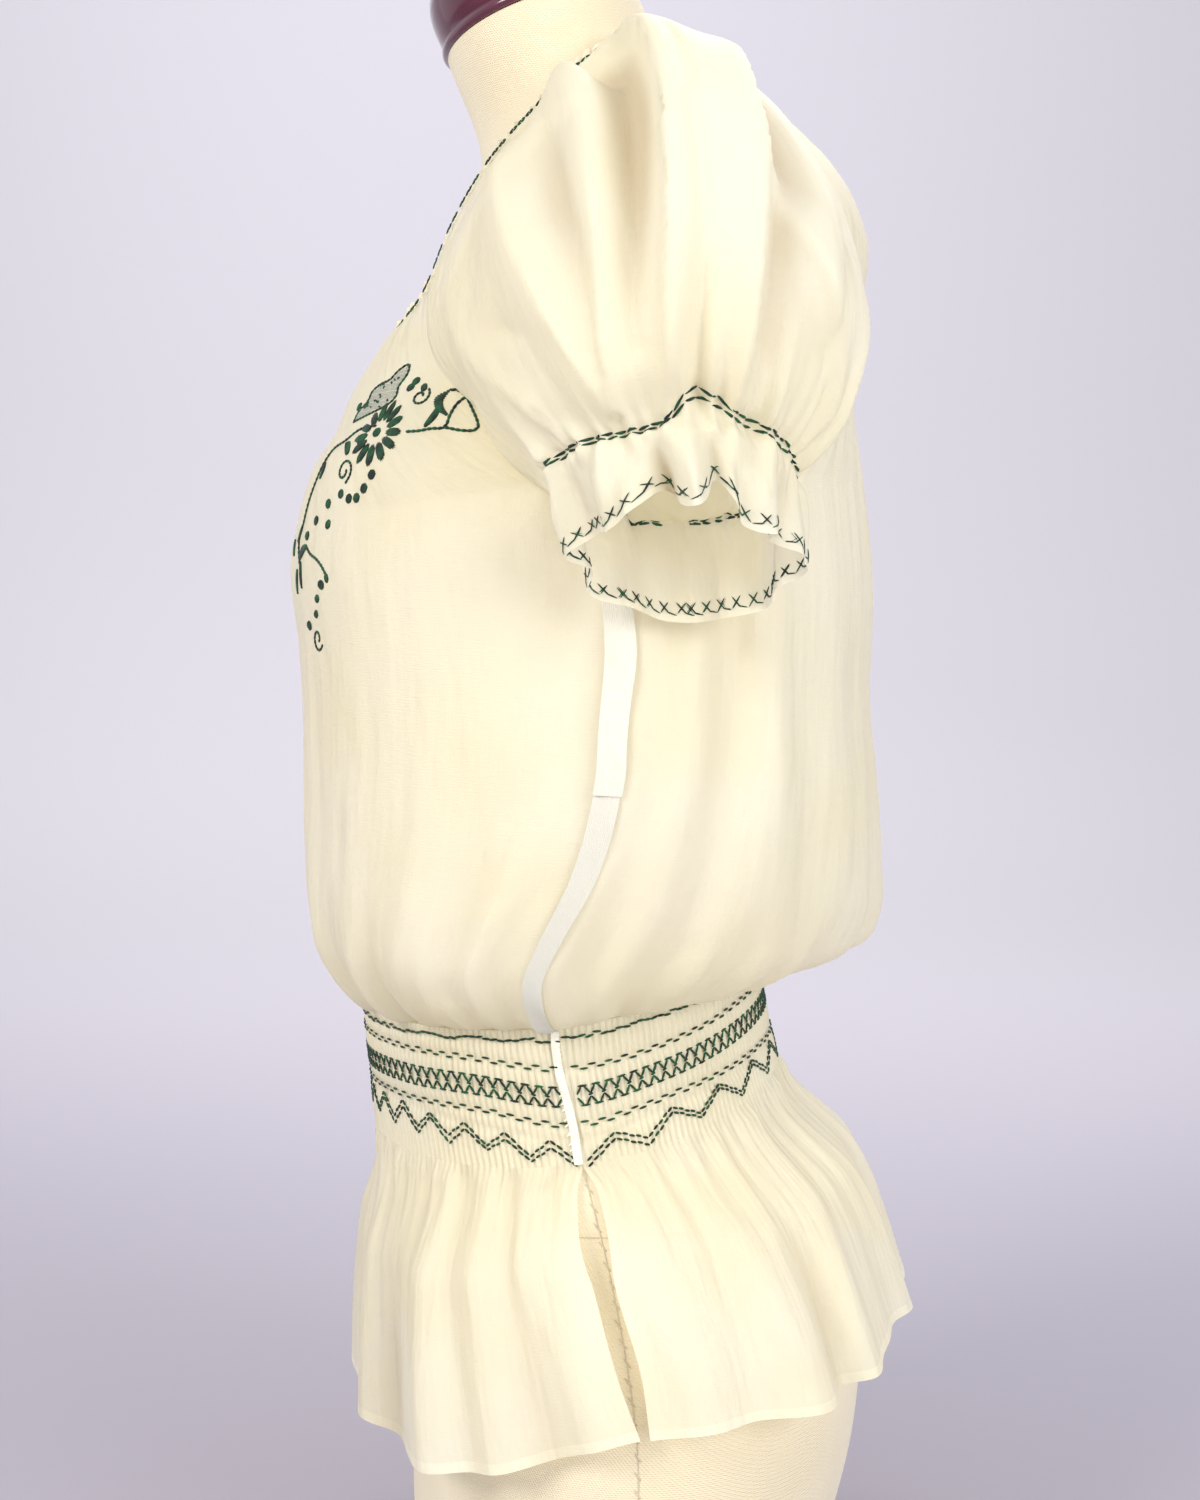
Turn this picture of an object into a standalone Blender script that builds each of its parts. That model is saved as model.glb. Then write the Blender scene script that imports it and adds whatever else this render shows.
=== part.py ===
"""An embroidered folk blouse on a limbless dress form. Metres, +Z up, the wearer's front towards -Y.

The blouse is cream silk: a front and a back, two raglan puff sleeves, a gathered neck edge, and a side opening
on the wearer's left. Its waist is smocked, and a peplum hangs below the smocking.
"""

import math

import bmesh
import bpy
import numpy as np

CLOTH = 0.0012              # thickness of every cloth wall
SEAM = 0.0003               # what each piece keeps back from a seam, so that neighbours lie about 0.6 mm apart
LEFT, RIGHT = 1, -1         # the wearer's sides, as signs of X


# Curves through short tables

def smooth(at, places, values):
    """The value at a place on a soft curve through the table's values, flat past its ends."""
    places = np.asarray(places, float)
    values = np.asarray(values, float)
    at = min(max(at, places[0]), places[-1])
    i = min(int(np.searchsorted(places, at, side="right")) - 1, len(places) - 2)
    slopes = np.gradient(values, places, axis=0)
    step = places[i + 1] - places[i]
    return hermite(values[i], values[i + 1], step * slopes[i], step * slopes[i + 1], (at - places[i]) / step)


def hermite(start, end, start_pull, end_pull, t):
    return ((2 * t**3 - 3 * t**2 + 1) * start + (t**3 - 2 * t**2 + t) * start_pull
            + (3 * t**2 - 2 * t**3) * end + (t**3 - t**2) * end_pull)


def look_up(table, at):
    """The columns after a table's first, at a place in its first."""
    return smooth(at, table[:, 0], table[:, 1:])


def ease(t):
    """0 before 0, 1 after 1, and a soft step between."""
    t = min(max(t, 0.0), 1.0)
    return t * t * (3 - 2 * t)


def mix(a, b, t):
    return a + (b - a) * t


def squared(value, power):
    """A superellipse's sine or cosine: it keeps its sign and fills out as power grows past 2."""
    return math.copysign(abs(value) ** (2 / power), value)


def unit(vector):
    return vector / np.linalg.norm(vector)


# The dress form: level rings up the trunk, leaning forward at the neck

FORM_COLUMNS = 36
FORM_POWER = 2.05
# height, half width, front y, back y, lean in degrees
FORM = np.array([
    (0.0000, 0.1380, -0.0870, 0.0960, 0),
    (0.0400, 0.1440, -0.0888, 0.1090, 0),
    (0.0850, 0.1490, -0.0900, 0.1204, 0),
    (0.1120, 0.1485, -0.0915, 0.1232, 0),
    (0.1500, 0.1430, -0.0950, 0.1180, 0),
    (0.1900, 0.1310, -0.0985, 0.1050, 0),
    (0.2260, 0.1190, -0.1035, 0.0910, 0),
    (0.2520, 0.1140, -0.1060, 0.0825, 0),
    (0.2790, 0.1115, -0.1088, 0.0760, 0),
    (0.3050, 0.1100, -0.1085, 0.0715, 0),
    (0.3400, 0.1095, -0.1095, 0.0695, 0),
    (0.4000, 0.1170, -0.1170, 0.0760, 0),
    (0.4350, 0.1230, -0.1275, 0.0820, 0),
    (0.4700, 0.1270, -0.1345, 0.0880, 0),
    (0.5200, 0.1280, -0.1170, 0.0950, 0),
    (0.5700, 0.1300, -0.0900, 0.0980, 0),
    (0.6050, 0.1410, -0.0745, 0.0960, 0),
    (0.6280, 0.1450, -0.0670, 0.0900, 2),
    (0.6450, 0.1360, -0.0620, 0.0810, 5),
    (0.6600, 0.1120, -0.0590, 0.0700, 9),
    (0.6720, 0.0850, -0.0580, 0.0580, 13),
    (0.6906, 0.0630, -0.0576, 0.0424, 17),
    (0.7368, 0.0570, -0.0734, 0.0200, 18),
])


def form_point(angle, height, out=0.0):
    """A point on the form, or that far outside it. Angle 0 is the centre back, 90 degrees the wearer's left."""
    half_width, front, back, lean = look_up(FORM, height)
    along = ((back - front) / 2 + out) * squared(math.cos(angle), FORM_POWER)
    lean = math.radians(lean)
    return np.array([
        (half_width + out) * squared(math.sin(angle), FORM_POWER),
        (front + back) / 2 + along * math.cos(lean),
        height + along * math.sin(lean),
    ])


# The neckline and the seams that the pieces share

# along the left half of the neckline, from the centre back to the centre front: x, y, z
NECKLINE = np.array([
    (0.0000, 0.0450, 0.7150),
    (0.0290, 0.0415, 0.7158),
    (0.0500, 0.0290, 0.7168),
    (0.0640, 0.0120, 0.7140),
    (0.0770, -0.0104, 0.6981),
    (0.0845, -0.0290, 0.6770),
    (0.0855, -0.0451, 0.6590),
    (0.0765, -0.0620, 0.6340),
    (0.0560, -0.0760, 0.6085),
    (0.0300, -0.0880, 0.5985),
    (0.0000, -0.0950, 0.5955),
])
MIRRORED = np.array([-1, 1, 1])
# one more point past each end, so that the two halves meet in a level curve
NECK_ROWS = np.vstack([NECKLINE[1] * MIRRORED, NECKLINE, NECKLINE[-2] * MIRRORED])
NECK_STEPS = np.cumsum(np.linalg.norm(np.diff(NECK_ROWS, axis=0), axis=1))
NECK_STEPS = np.concatenate([[0.0], NECK_STEPS]) - NECK_STEPS[0]
NECK_BACK_SEAM, NECK_FRONT_SEAM, NECK_HALF = NECK_STEPS[[3, 9, 11]]
# share of the seam from the neck to the underarm, x, y, z
FRONT_RAGLAN = np.array([
    (0.00, 0.0560, -0.0760, 0.6085),
    (0.25, 0.0780, -0.0725, 0.5900),
    (0.50, 0.1005, -0.0632, 0.5695),
    (0.72, 0.1200, -0.0480, 0.5450),
    (0.88, 0.1330, -0.0170, 0.5270),
    (1.00, 0.1400, 0.0120, 0.5180),
])
BACK_RAGLAN = np.array([
    (0.00, 0.0500, 0.0290, 0.7168),
    (0.20, 0.0740, 0.0610, 0.6900),
    (0.40, 0.0970, 0.0850, 0.6500),
    (0.62, 0.1180, 0.0880, 0.6000),
    (0.80, 0.1310, 0.0690, 0.5550),
    (0.92, 0.1380, 0.0400, 0.5290),
    (1.00, 0.1400, 0.0120, 0.5180),
])
RAGLAN_STATIONS = 8         # rows that a sleeve and a body panel have in common along a raglan seam


def neckline(step):
    """A point of the neckline, by its distance from the centre back. A negative one is on the wearer's right."""
    return smooth(abs(step), NECK_STEPS, NECK_ROWS) * (math.copysign(1, step), 1, 1)


# Walls of cloth

def finish(name, colour, roughness):
    """A plain material for one kind of piece."""
    material = bpy.data.materials.new(name)
    material.use_nodes = True
    shader = material.node_tree.nodes["Principled BSDF"]
    shader.inputs["Base Color"].default_value = (*colour, 1)
    shader.inputs["Roughness"].default_value = roughness
    return material


def shaped_grid(columns, rows, point, tube=False):
    """A bmesh grid moved to point(u, v), both 0 to 1. A tube's first and last columns are merged."""
    shape = bmesh.new()
    bmesh.ops.create_grid(shape, x_segments=columns, y_segments=rows, size=0.5)
    for vertex in shape.verts:
        vertex.co = point(vertex.co.x + 0.5, vertex.co.y + 0.5)
    if tube:
        bmesh.ops.remove_doubles(shape, verts=shape.verts, dist=1e-5)
    return shape


def place(name, shape, material):
    """Turns a finished bmesh into a named object."""
    mesh = bpy.data.meshes.new(name)
    shape.to_mesh(mesh)
    shape.free()
    mesh.materials.append(material)
    piece = bpy.data.objects.new(name, mesh)
    bpy.context.scene.collection.objects.link(piece)
    return piece


def cloth(name, shape, material, thick=CLOTH, flip=False):
    """A cloth piece, whose wall lies inside the surface that the grid gives."""
    if flip:
        bmesh.ops.reverse_faces(shape, faces=shape.faces)
    piece = place(name, shape, material)
    piece.data.shade_smooth()
    wall = piece.modifiers.new("cloth thickness", "SOLIDIFY")
    wall.thickness = thick
    wall.offset = -1
    return piece


def capped(name, shape, material):
    """A solid from an open tube, its ends closed by flat faces."""
    bmesh.ops.holes_fill(shape, edges=[edge for edge in shape.edges if edge.is_boundary], sides=0)
    bmesh.ops.recalc_face_normals(shape, faces=shape.faces)
    piece = place(name, shape, material)
    piece.data.shade_smooth()
    piece.data.set_sharp_from_angle(angle=math.radians(50))
    return piece


def uneven(across, count, seed):
    """Uneven gathers, -1 to 1, between the two edges of a panel at across -1 and 1."""
    wander = 0.35 * math.sin(2.3 * across * math.pi + seed) + 0.2 * math.sin(5.1 * across * math.pi + 2 * seed)
    return math.sin(count * math.pi * (across + 0.12 * wander) + seed)


def uneven_round(turn, count, seed):
    """Uneven gathers that join up after one turn."""
    wander = 0.5 * math.sin(2 * math.pi * turn + seed) + 0.3 * math.sin(4 * math.pi * turn + 2 * seed)
    return math.sin(2 * math.pi * count * turn + wander + seed)


# The smocked waist: narrow pleats standing on a plain ring that hugs the dress form

PLEATS = 32                 # in each half
PLEAT_DEPTH = 0.0020
BAND_REST = 0.0006          # between the dress form and the smocked cloth
BAND_TOP, BAND_TOP_LIFT = 0.2790, 0.0240            # at the centre front, and how much higher at the centre back
BAND_BOTTOM, BAND_BOTTOM_LIFT = 0.2260, 0.0300
LIFT_POWER = 2.6


def lift(angle):
    """How far the waist has risen towards the back, 0 at the centre front and 1 at the centre back."""
    return ((1 + math.cos(angle)) / 2) ** LIFT_POWER


def band_top(angle):
    return BAND_TOP + BAND_TOP_LIFT * lift(angle)


def band_bottom(angle):
    return BAND_BOTTOM + BAND_BOTTOM_LIFT * lift(angle)


def half_angle(across, back):
    """The angle round the form for a half's -1 to 1, from the wearer's right side seam to the left one."""
    return across * math.pi / 2 if back else math.pi - across * math.pi / 2


def smocking(name, back, material):
    """One half of the smocking, its wall thickest at the pleats."""
    columns = 2 * PLEATS
    edge_gap = SEAM / 0.19

    def point(u, v, outer=True):
        across = (2 * u - 1) * (1 - edge_gap)
        angle = half_angle(-across if back else across, back)
        height = mix(band_bottom(angle), band_top(angle) - SEAM, v)
        pleat = PLEAT_DEPTH * (round(u * columns) % 2)
        return form_point(angle, height, BAND_REST + (CLOTH + pleat if outer else 0))

    shape = shaped_grid(columns, 1, point)
    inside = shaped_grid(columns, 1, lambda u, v: point(u, v, outer=False))
    mesh = bpy.data.meshes.new("inside")
    inside.to_mesh(mesh)
    inside.free()
    outer_faces = len(shape.faces)
    shape.from_mesh(mesh)
    bpy.data.meshes.remove(mesh)
    shape.faces.ensure_lookup_table()
    bmesh.ops.reverse_faces(shape, faces=shape.faces[outer_faces:])
    rims = [edge for edge in shape.edges if edge.is_boundary]
    bmesh.ops.bridge_loops(shape, edges=rims)
    bmesh.ops.recalc_face_normals(shape, faces=shape.faces)
    return place(name, shape, material)


# Body panels from the smocking up to the neckline

PANEL_COLUMNS = 30
UNDERARM_SHARE = 0.58
LOWER_STATIONS = (0.0, 0.035, 0.075, 0.12, 0.175, 0.24, 0.32, 0.41, 0.50)
PANEL_STATIONS = (*LOWER_STATIONS,
                  *(mix(UNDERARM_SHARE, 1, i / RAGLAN_STATIONS) for i in range(RAGLAN_STATIONS + 1)))
RAGLAN_SWEEP = 62           # degrees of arc left in a panel's half row at the neckline
PANEL_POWER = 2.3
# share of the panel's rows, side seam's x, y, z
SIDE_SEAM = np.array([
    (0.00, 0.1160, -0.0150, 0.2840),
    (0.04, 0.1260, -0.0190, 0.2885),
    (0.08, 0.1370, -0.0222, 0.2980),
    (0.13, 0.1455, -0.0225, 0.3120),
    (0.18, 0.1500, -0.0150, 0.3290),
    (0.25, 0.1530, -0.0020, 0.3550),
    (0.34, 0.1530, 0.0100, 0.3920),
    (0.43, 0.1490, 0.0141, 0.4420),
    (0.50, 0.1450, 0.0140, 0.4800),
    (0.58, 0.1400, 0.0120, 0.5180),
])
# share, y, z down the centre front
CENTRE_FRONT = np.array([
    (0.00, -0.1131, 0.2790),
    (0.04, -0.1202, 0.2883),
    (0.08, -0.1283, 0.2999),
    (0.13, -0.1363, 0.3148),
    (0.18, -0.1395, 0.3311),
    (0.25, -0.1405, 0.3600),
    (0.34, -0.1412, 0.4038),
    (0.43, -0.1430, 0.4500),
    (0.50, -0.1453, 0.4800),
    (0.58, -0.1417, 0.5020),
    (0.66, -0.1344, 0.5279),
    (0.75, -0.1245, 0.5440),
    (0.84, -0.1157, 0.5655),
    (0.92, -0.1040, 0.5850),
    (1.00, -0.0950, 0.5955),
])
# share, y, z down the centre back
CENTRE_BACK = np.array([
    (0.00, 0.0790, 0.3035),
    (0.04, 0.0930, 0.2990),
    (0.08, 0.1120, 0.3010),
    (0.13, 0.1300, 0.3085),
    (0.18, 0.1353, 0.3250),
    (0.25, 0.1340, 0.3500),
    (0.34, 0.1300, 0.3900),
    (0.43, 0.1262, 0.4300),
    (0.50, 0.1272, 0.4713),
    (0.58, 0.1225, 0.5200),
    (0.66, 0.1165, 0.5600),
    (0.75, 0.1200, 0.6000),
    (0.84, 0.1230, 0.6370),
    (0.90, 0.1100, 0.6660),
    (0.95, 0.0830, 0.6930),
    (1.00, 0.0450, 0.7150),
])
WAIST_GATHERS, WAIST_GATHER_DEPTH = 9, 0.0030
NECK_GATHERS, NECK_GATHER_DEPTH = 6, 0.0020


def panel_edge(share, back):
    """A point on a panel's left edge: the side seam up to the underarm, and the raglan seam above it."""
    if share <= UNDERARM_SHARE:
        return look_up(SIDE_SEAM, share)
    return look_up(BACK_RAGLAN if back else FRONT_RAGLAN, (1 - share) / (1 - UNDERARM_SHARE))


def panel_point(across, share, back):
    """A point of the front or back panel. Across is -1 at the wearer's right edge and 1 at the left."""
    edge = panel_edge(share, back)
    middle_y, middle_z = look_up(CENTRE_BACK if back else CENTRE_FRONT, share)
    above = ease((share - UNDERARM_SHARE) / (1 - UNDERARM_SHARE))
    sweep = math.radians(mix(90, RAGLAN_SWEEP, above))
    power = mix(PANEL_POWER, 2.0, above)
    turn = across * sweep
    side = squared(math.sin(turn), power) / squared(math.sin(sweep), power)
    fall = (1 - squared(math.cos(turn), power)) / (1 - squared(math.cos(sweep), power))
    at_edge = 1 - ease((abs(across) - 0.90) / 0.10)
    at_waist = ease(share / 0.05) * (1 - ease((share - 0.03) / 0.30))
    at_neck = ease((share - 0.80) / 0.15)
    ripple = at_edge * (WAIST_GATHER_DEPTH * at_waist * uneven(across, WAIST_GATHERS, 1.0 + back)
                        + NECK_GATHER_DEPTH * at_neck * uneven(across, NECK_GATHERS, 0.4 + back))
    outward = 1 if back else -1
    plain = np.array([
        edge[0] * side + ripple * math.sin(turn),
        mix(middle_y, edge[1], fall) + outward * ripple * math.cos(turn),
        mix(middle_z, edge[2], abs(across) ** 1.7),
    ])
    angle = half_angle(across, back)
    on_band = form_point(angle, band_top(angle) + SEAM, BAND_REST + CLOTH + PLEAT_DEPTH / 2)
    seam_step = NECK_BACK_SEAM * across if back else mix(NECK_HALF, NECK_FRONT_SEAM, abs(across))
    on_neck = neckline(seam_step if back else math.copysign(seam_step, across))
    plain = mix(plain, on_band, 1 - ease(share / 0.06))
    return mix(plain, on_neck, ease((share - 0.90) / 0.10))


def panel_reach(share):
    """About how long half a row of a panel is."""
    return mix(0.19, 0.075, ease((share - UNDERARM_SHARE) / (1 - UNDERARM_SHARE)))


def body_panel(name, back, material):
    rows = len(PANEL_STATIONS) - 1

    def point(u, v):
        share = PANEL_STATIONS[round(v * rows)]
        across = (2 * u - 1) * (1 - SEAM / panel_reach(share))
        return panel_point(-across if back else across, share, back)

    return cloth(name, shaped_grid(PANEL_COLUMNS, rows, point), material)


# The peplum below the smocking, slit at the wearer's left side

PEPLUM_COLUMNS = 46
PEPLUM_DROPS = (0.0, 0.10, 0.30, 0.55, 0.80, 1.0)
PEPLUM_WAVES = 11           # in each half
PEPLUM_WAVE_DEPTH = 0.0050
HEM, HEM_LIFT = 0.108, 0.036
# share of the drop, half width, front y, back y, slit's y at the side, half of the slit's gap
PEPLUM = np.array([
    (0.00, 0.1225, -0.1085, 0.0850, -0.0110, 0.0012),
    (0.25, 0.1370, -0.1110, 0.1090, -0.0040, 0.0040),
    (0.50, 0.1470, -0.1140, 0.1260, 0.0035, 0.0045),
    (0.75, 0.1550, -0.1160, 0.1360, 0.0115, 0.0035),
    (1.00, 0.1610, -0.1170, 0.1450, 0.0185, 0.0018),
])


def peplum_point(across, drop, back):
    """A point of the peplum, across as on the panels, drop 0 at the smocking and 1 at the hem."""
    angle = half_angle(across, back)
    half_width, front, behind, slit_y, slit_gap = look_up(PEPLUM, drop)
    slit_gap = slit_gap if across > 0 else SEAM
    height = mix(band_bottom(angle) - SEAM, HEM + HEM_LIFT * lift(angle), drop)
    calm = 1 - 0.8 * ease((abs(across) - 0.92) / 0.08)
    waves = PEPLUM_WAVE_DEPTH * ease(drop / 0.8) * calm * uneven(across, PEPLUM_WAVES, 0.8 + 1.7 * back)
    reach = (behind - slit_y if back else slit_y - front) - slit_gap
    start = slit_y + slit_gap * (1 if back else -1)
    flared = np.array([
        (half_width + waves) * squared(math.sin(angle), PANEL_POWER),
        start + (reach + waves) * squared(math.cos(angle), PANEL_POWER),
        height,
    ])
    edge_gap = SEAM / 0.19
    top = form_point(half_angle(across * (1 - edge_gap), back), height, BAND_REST + CLOTH + PLEAT_DEPTH / 2)
    return mix(np.array([*top[:2], height]), flared, ease(drop / 0.4))


def peplum(name, back, material):
    rows = len(PEPLUM_DROPS) - 1

    def point(u, v):
        across = 2 * u - 1
        return peplum_point(-across if back else across, PEPLUM_DROPS[rows - round(v * rows)], back)

    return cloth(name, shaped_grid(PEPLUM_COLUMNS, rows, point), material)


# Raglan puff sleeves, gathered at the neck and above the elbow, with the cloth's end left as a ruffle

SLEEVE_COLUMNS = 30
UNDERARM_ROW = 0.52         # share of the sleeve's rows at which its raglan seams meet
CUFF = 0.78                 # share at the gathered cuff line
SLEEVE_STATIONS = (*(UNDERARM_ROW * i / RAGLAN_STATIONS for i in range(RAGLAN_STATIONS + 1)),
                   0.58, 0.64, 0.69, 0.735, CUFF, 0.84, 0.92, 1.0)
CROTCH = np.array([0.0020, 0.0, 0.0])               # keeps the sleeve's underarm point off the panels'
# share, then x y z of the foremost, outermost and rearmost lines and of the seam under the arm
SLEEVE = np.array([
    (0.00, 0.0870, -0.0480, 0.6560, 0.0760, -0.0060, 0.7010, 0.0600, 0.0170, 0.7150, 0.1400, 0.0120, 0.5180),
    (0.14, 0.1060, -0.0590, 0.6270, 0.1170, 0.0040, 0.6930, 0.0940, 0.0500, 0.6960, 0.1400, 0.0120, 0.5180),
    (0.28, 0.1250, -0.0640, 0.6060, 0.1610, 0.0100, 0.6840, 0.1290, 0.0700, 0.6690, 0.1400, 0.0120, 0.5180),
    (0.42, 0.1350, -0.0610, 0.5820, 0.2000, 0.0150, 0.6550, 0.1620, 0.0890, 0.6310, 0.1400, 0.0120, 0.5180),
    (0.52, 0.1430, -0.0540, 0.5630, 0.2220, 0.0180, 0.6220, 0.1780, 0.0990, 0.5940, 0.1400, 0.0120, 0.5180),
    (0.64, 0.1570, -0.0410, 0.5400, 0.2340, 0.0220, 0.5820, 0.1820, 0.0980, 0.5610, 0.1480, 0.0190, 0.5085),
    (0.73, 0.1740, -0.0260, 0.5230, 0.2320, 0.0260, 0.5520, 0.1800, 0.0870, 0.5320, 0.1510, 0.0265, 0.5020),
    (0.78, 0.1810, -0.0185, 0.5170, 0.2230, 0.0290, 0.5360, 0.1800, 0.0760, 0.5170, 0.1530, 0.0290, 0.4985),
    (0.84, 0.1830, -0.0160, 0.5070, 0.2250, 0.0305, 0.5260, 0.1800, 0.0765, 0.5080, 0.1545, 0.0310, 0.4900),
    (1.00, 0.1850, -0.0090, 0.4830, 0.2270, 0.0340, 0.4980, 0.1840, 0.0760, 0.4800, 0.1580, 0.0350, 0.4590),
])
# turn at the neck and at the cuff, height (negative for a hollow), half width; a turn is 0 at the back seam
SLEEVE_FOLDS = np.array([
    (0.700, 0.600, -0.0040, 0.032),
    (0.640, 0.565, 0.0045, 0.028),
    (0.548, 0.532, 0.0060, 0.022),
    (0.512, 0.515, -0.0080, 0.022),
    (0.468, 0.478, 0.0070, 0.022),
    (0.405, 0.425, 0.0055, 0.024),
    (0.310, 0.365, -0.0040, 0.030),
    (0.240, 0.310, 0.0040, 0.030),
])
SLEEVE_GATHERS, SLEEVE_GATHER_DEPTH = 9, 0.0028
RUFFLE_WAVES, RUFFLE_WAVE_DEPTH = 8, 0.0045
ROUND_PULL = 0.8284         # end pull of a curve that turns a quarter circle, as a share of its two reaches
SEAM_PULL = 1.25            # the same where a row starts at a raglan seam
SPRING = np.array([0.045, 0.0, -0.004])             # how the cloth springs out from the seam at the underarm


def sleeve_ring(turn, share):
    """A point of the plain sleeve, before its folds. Turn is 0 at the back seam and 1 at the front seam."""
    foremost, outermost, rearmost, under = np.split(look_up(SLEEVE, share), 4)
    closed = ease((share - UNDERARM_ROW) / 0.07)
    if share < UNDERARM_ROW:
        front = look_up(FRONT_RAGLAN, share / UNDERARM_ROW)
        back = look_up(BACK_RAGLAN, share / UNDERARM_ROW)
    else:
        front = back = under + CROTCH
    spring = SPRING * min(share / UNDERARM_ROW, 1.0)
    under_arm = ROUND_PULL * (rearmost - foremost) * (0, 1, 1)
    pulls = (
        mix(SEAM_PULL * (rearmost - back) + spring, under_arm, closed),
        ROUND_PULL * (outermost - back),
        ROUND_PULL * (foremost - rearmost),
        ROUND_PULL * (front - outermost),
        mix(SEAM_PULL * (front - foremost) - spring, under_arm, closed),
    )
    stops = (back, rearmost, outermost, foremost, front)
    quarter = min(int(turn * 4), 3)
    spot = hermite(stops[quarter], stops[quarter + 1], pulls[quarter], pulls[quarter + 1], turn * 4 - quarter)
    on_neck = neckline(mix(NECK_BACK_SEAM, NECK_FRONT_SEAM, turn))
    return mix(on_neck, spot, ease(share / 0.13))


def sleeve_out(turn, share):
    """The direction out of the plain sleeve at a point."""
    step = 0.01
    lower = min(share + step, 1.0)
    along = sleeve_ring(turn, lower) - sleeve_ring(turn, lower - 2 * step)
    ahead, behind = min(turn + step, 1.0), max(turn - step, 0.0)
    if share >= UNDERARM_ROW:
        ahead, behind = (turn + step) % 1.0, (turn - step) % 1.0
    around = sleeve_ring(ahead, share) - sleeve_ring(behind, share)
    return unit(np.cross(around, along))


def sleeve_fold(turn, share):
    """How far the cloth stands out of the plain sleeve: its long folds, its gathers and its ruffle."""
    open_edge = 1 - ease((abs(2 * turn - 1) - 0.88) / 0.12) * (share < UNDERARM_ROW)
    at_neck = ease(share / 0.05) * (1 - ease((share - 0.10) / 0.22))
    at_cuff = ease((share - 0.55) / 0.14) * (1 - ease((share - 0.73) / (CUFF - 0.73)))
    in_ruffle = ease((share - CUFF) / 0.14)
    along = ease((share - 0.02) / 0.16) * (1 - ease((share - 0.62) / (CUFF - 0.62)))
    folds = sum(height * math.exp(-((turn - mix(neck, cuff, share / CUFF)) / width) ** 2)
                for neck, cuff, height, width in SLEEVE_FOLDS)
    return open_edge * (along * folds
                        + SLEEVE_GATHER_DEPTH * (at_neck * uneven(2 * turn - 1, SLEEVE_GATHERS, 0.9)
                                                 + at_cuff * uneven_round(turn, SLEEVE_GATHERS, 0.5))
                        + RUFFLE_WAVE_DEPTH * in_ruffle * uneven_round(turn, RUFFLE_WAVES, 2.0))


def sleeve_point(turn, share):
    return sleeve_ring(turn, share) + sleeve_out(turn, share) * sleeve_fold(turn, share)


def sleeve(name, side, material):
    """A sleeve, open along its raglan seams down to the underarm and a tube below it."""
    rows = len(SLEEVE_STATIONS) - 1

    def point(u, v):
        share = SLEEVE_STATIONS[rows - round(v * rows)]
        gap = SEAM / mix(0.12, 0.42, share / UNDERARM_ROW) if share < UNDERARM_ROW - 1e-6 else 0.0
        return sleeve_point(mix(1 - gap, gap, u), share) * (side, 1, 1)

    return cloth(name, shaped_grid(SLEEVE_COLUMNS, rows, point, tube=True), material, flip=side == RIGHT)


# The gathered neck edge, a narrow strip that stands along the whole neckline

EDGE_COLUMNS = 60
EDGE_GAP = 0.0008
EDGE_HEIGHT = 0.0060
EDGE_WAVES, EDGE_WAVE_DEPTH = 8, 0.0008             # waves in each half
EDGE_LEAN = 0.55            # how strongly the strip leans in towards the neck


def neck_edge(name, material):
    def point(u, v):
        across = 2 * u - 1
        spot = neckline(across * NECK_HALF)
        inward = np.array([-spot[0], FORM[-2, 2:4].mean() - spot[1], 0.0])
        rise = unit(np.array([*(EDGE_LEAN * inward[:2]), 0.045]))
        ripple = EDGE_WAVE_DEPTH * v * math.sin(2 * math.pi * EDGE_WAVES * across)
        return spot + rise * (EDGE_GAP + EDGE_HEIGHT * v) - unit(inward) * ripple

    return cloth(name, shaped_grid(EDGE_COLUMNS, 1, point, tube=True), material)


# The side opening on the wearer's left: a tape on the front's edge, from below the sleeve to the smocking

TAPE_STATIONS = tuple(share for share in PANEL_STATIONS if 0.035 <= share <= 0.45)
TAPE_FROM, TAPE_TO = 0.945, 0.9985                  # as shares of the front's half width
TAPE_CLEARANCE = 0.0005


def side_tape(name, material):
    rows = len(TAPE_STATIONS) - 1

    def point(u, v):
        share = TAPE_STATIONS[round(v * rows)]
        across = mix(TAPE_FROM, TAPE_TO, u)
        spot = panel_point(across, share, back=False)
        around = panel_point(TAPE_TO, share, False) - panel_point(TAPE_FROM, share, False)
        upward = panel_point(across, share + 0.01, False) - panel_point(across, share - 0.01, False)
        return spot + unit(np.cross(around, upward)) * (TAPE_CLEARANCE + CLOTH)

    return cloth(name, shaped_grid(1, rows, point), material)


# The dress form's own pieces

CAP_COLUMNS = 26
CAP_GAP = 0.0004
# share of the neck's radius, height above the neck's end
CAP_PROFILE = ((1.015, CAP_GAP), (1.035, 0.0012), (1.035, 0.0040), (1.000, 0.0050), (1.030, 0.0120),
               (1.040, 0.0200), (0.980, 0.0280), (0.850, 0.0325), (0.450, 0.0345))


def dress_form(name, material):
    rows = len(FORM) - 1
    return capped(name, shaped_grid(FORM_COLUMNS, rows, lambda u, v: form_point(
        2 * math.pi * u, FORM[round(v * rows), 0]), tube=True), material)


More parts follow.
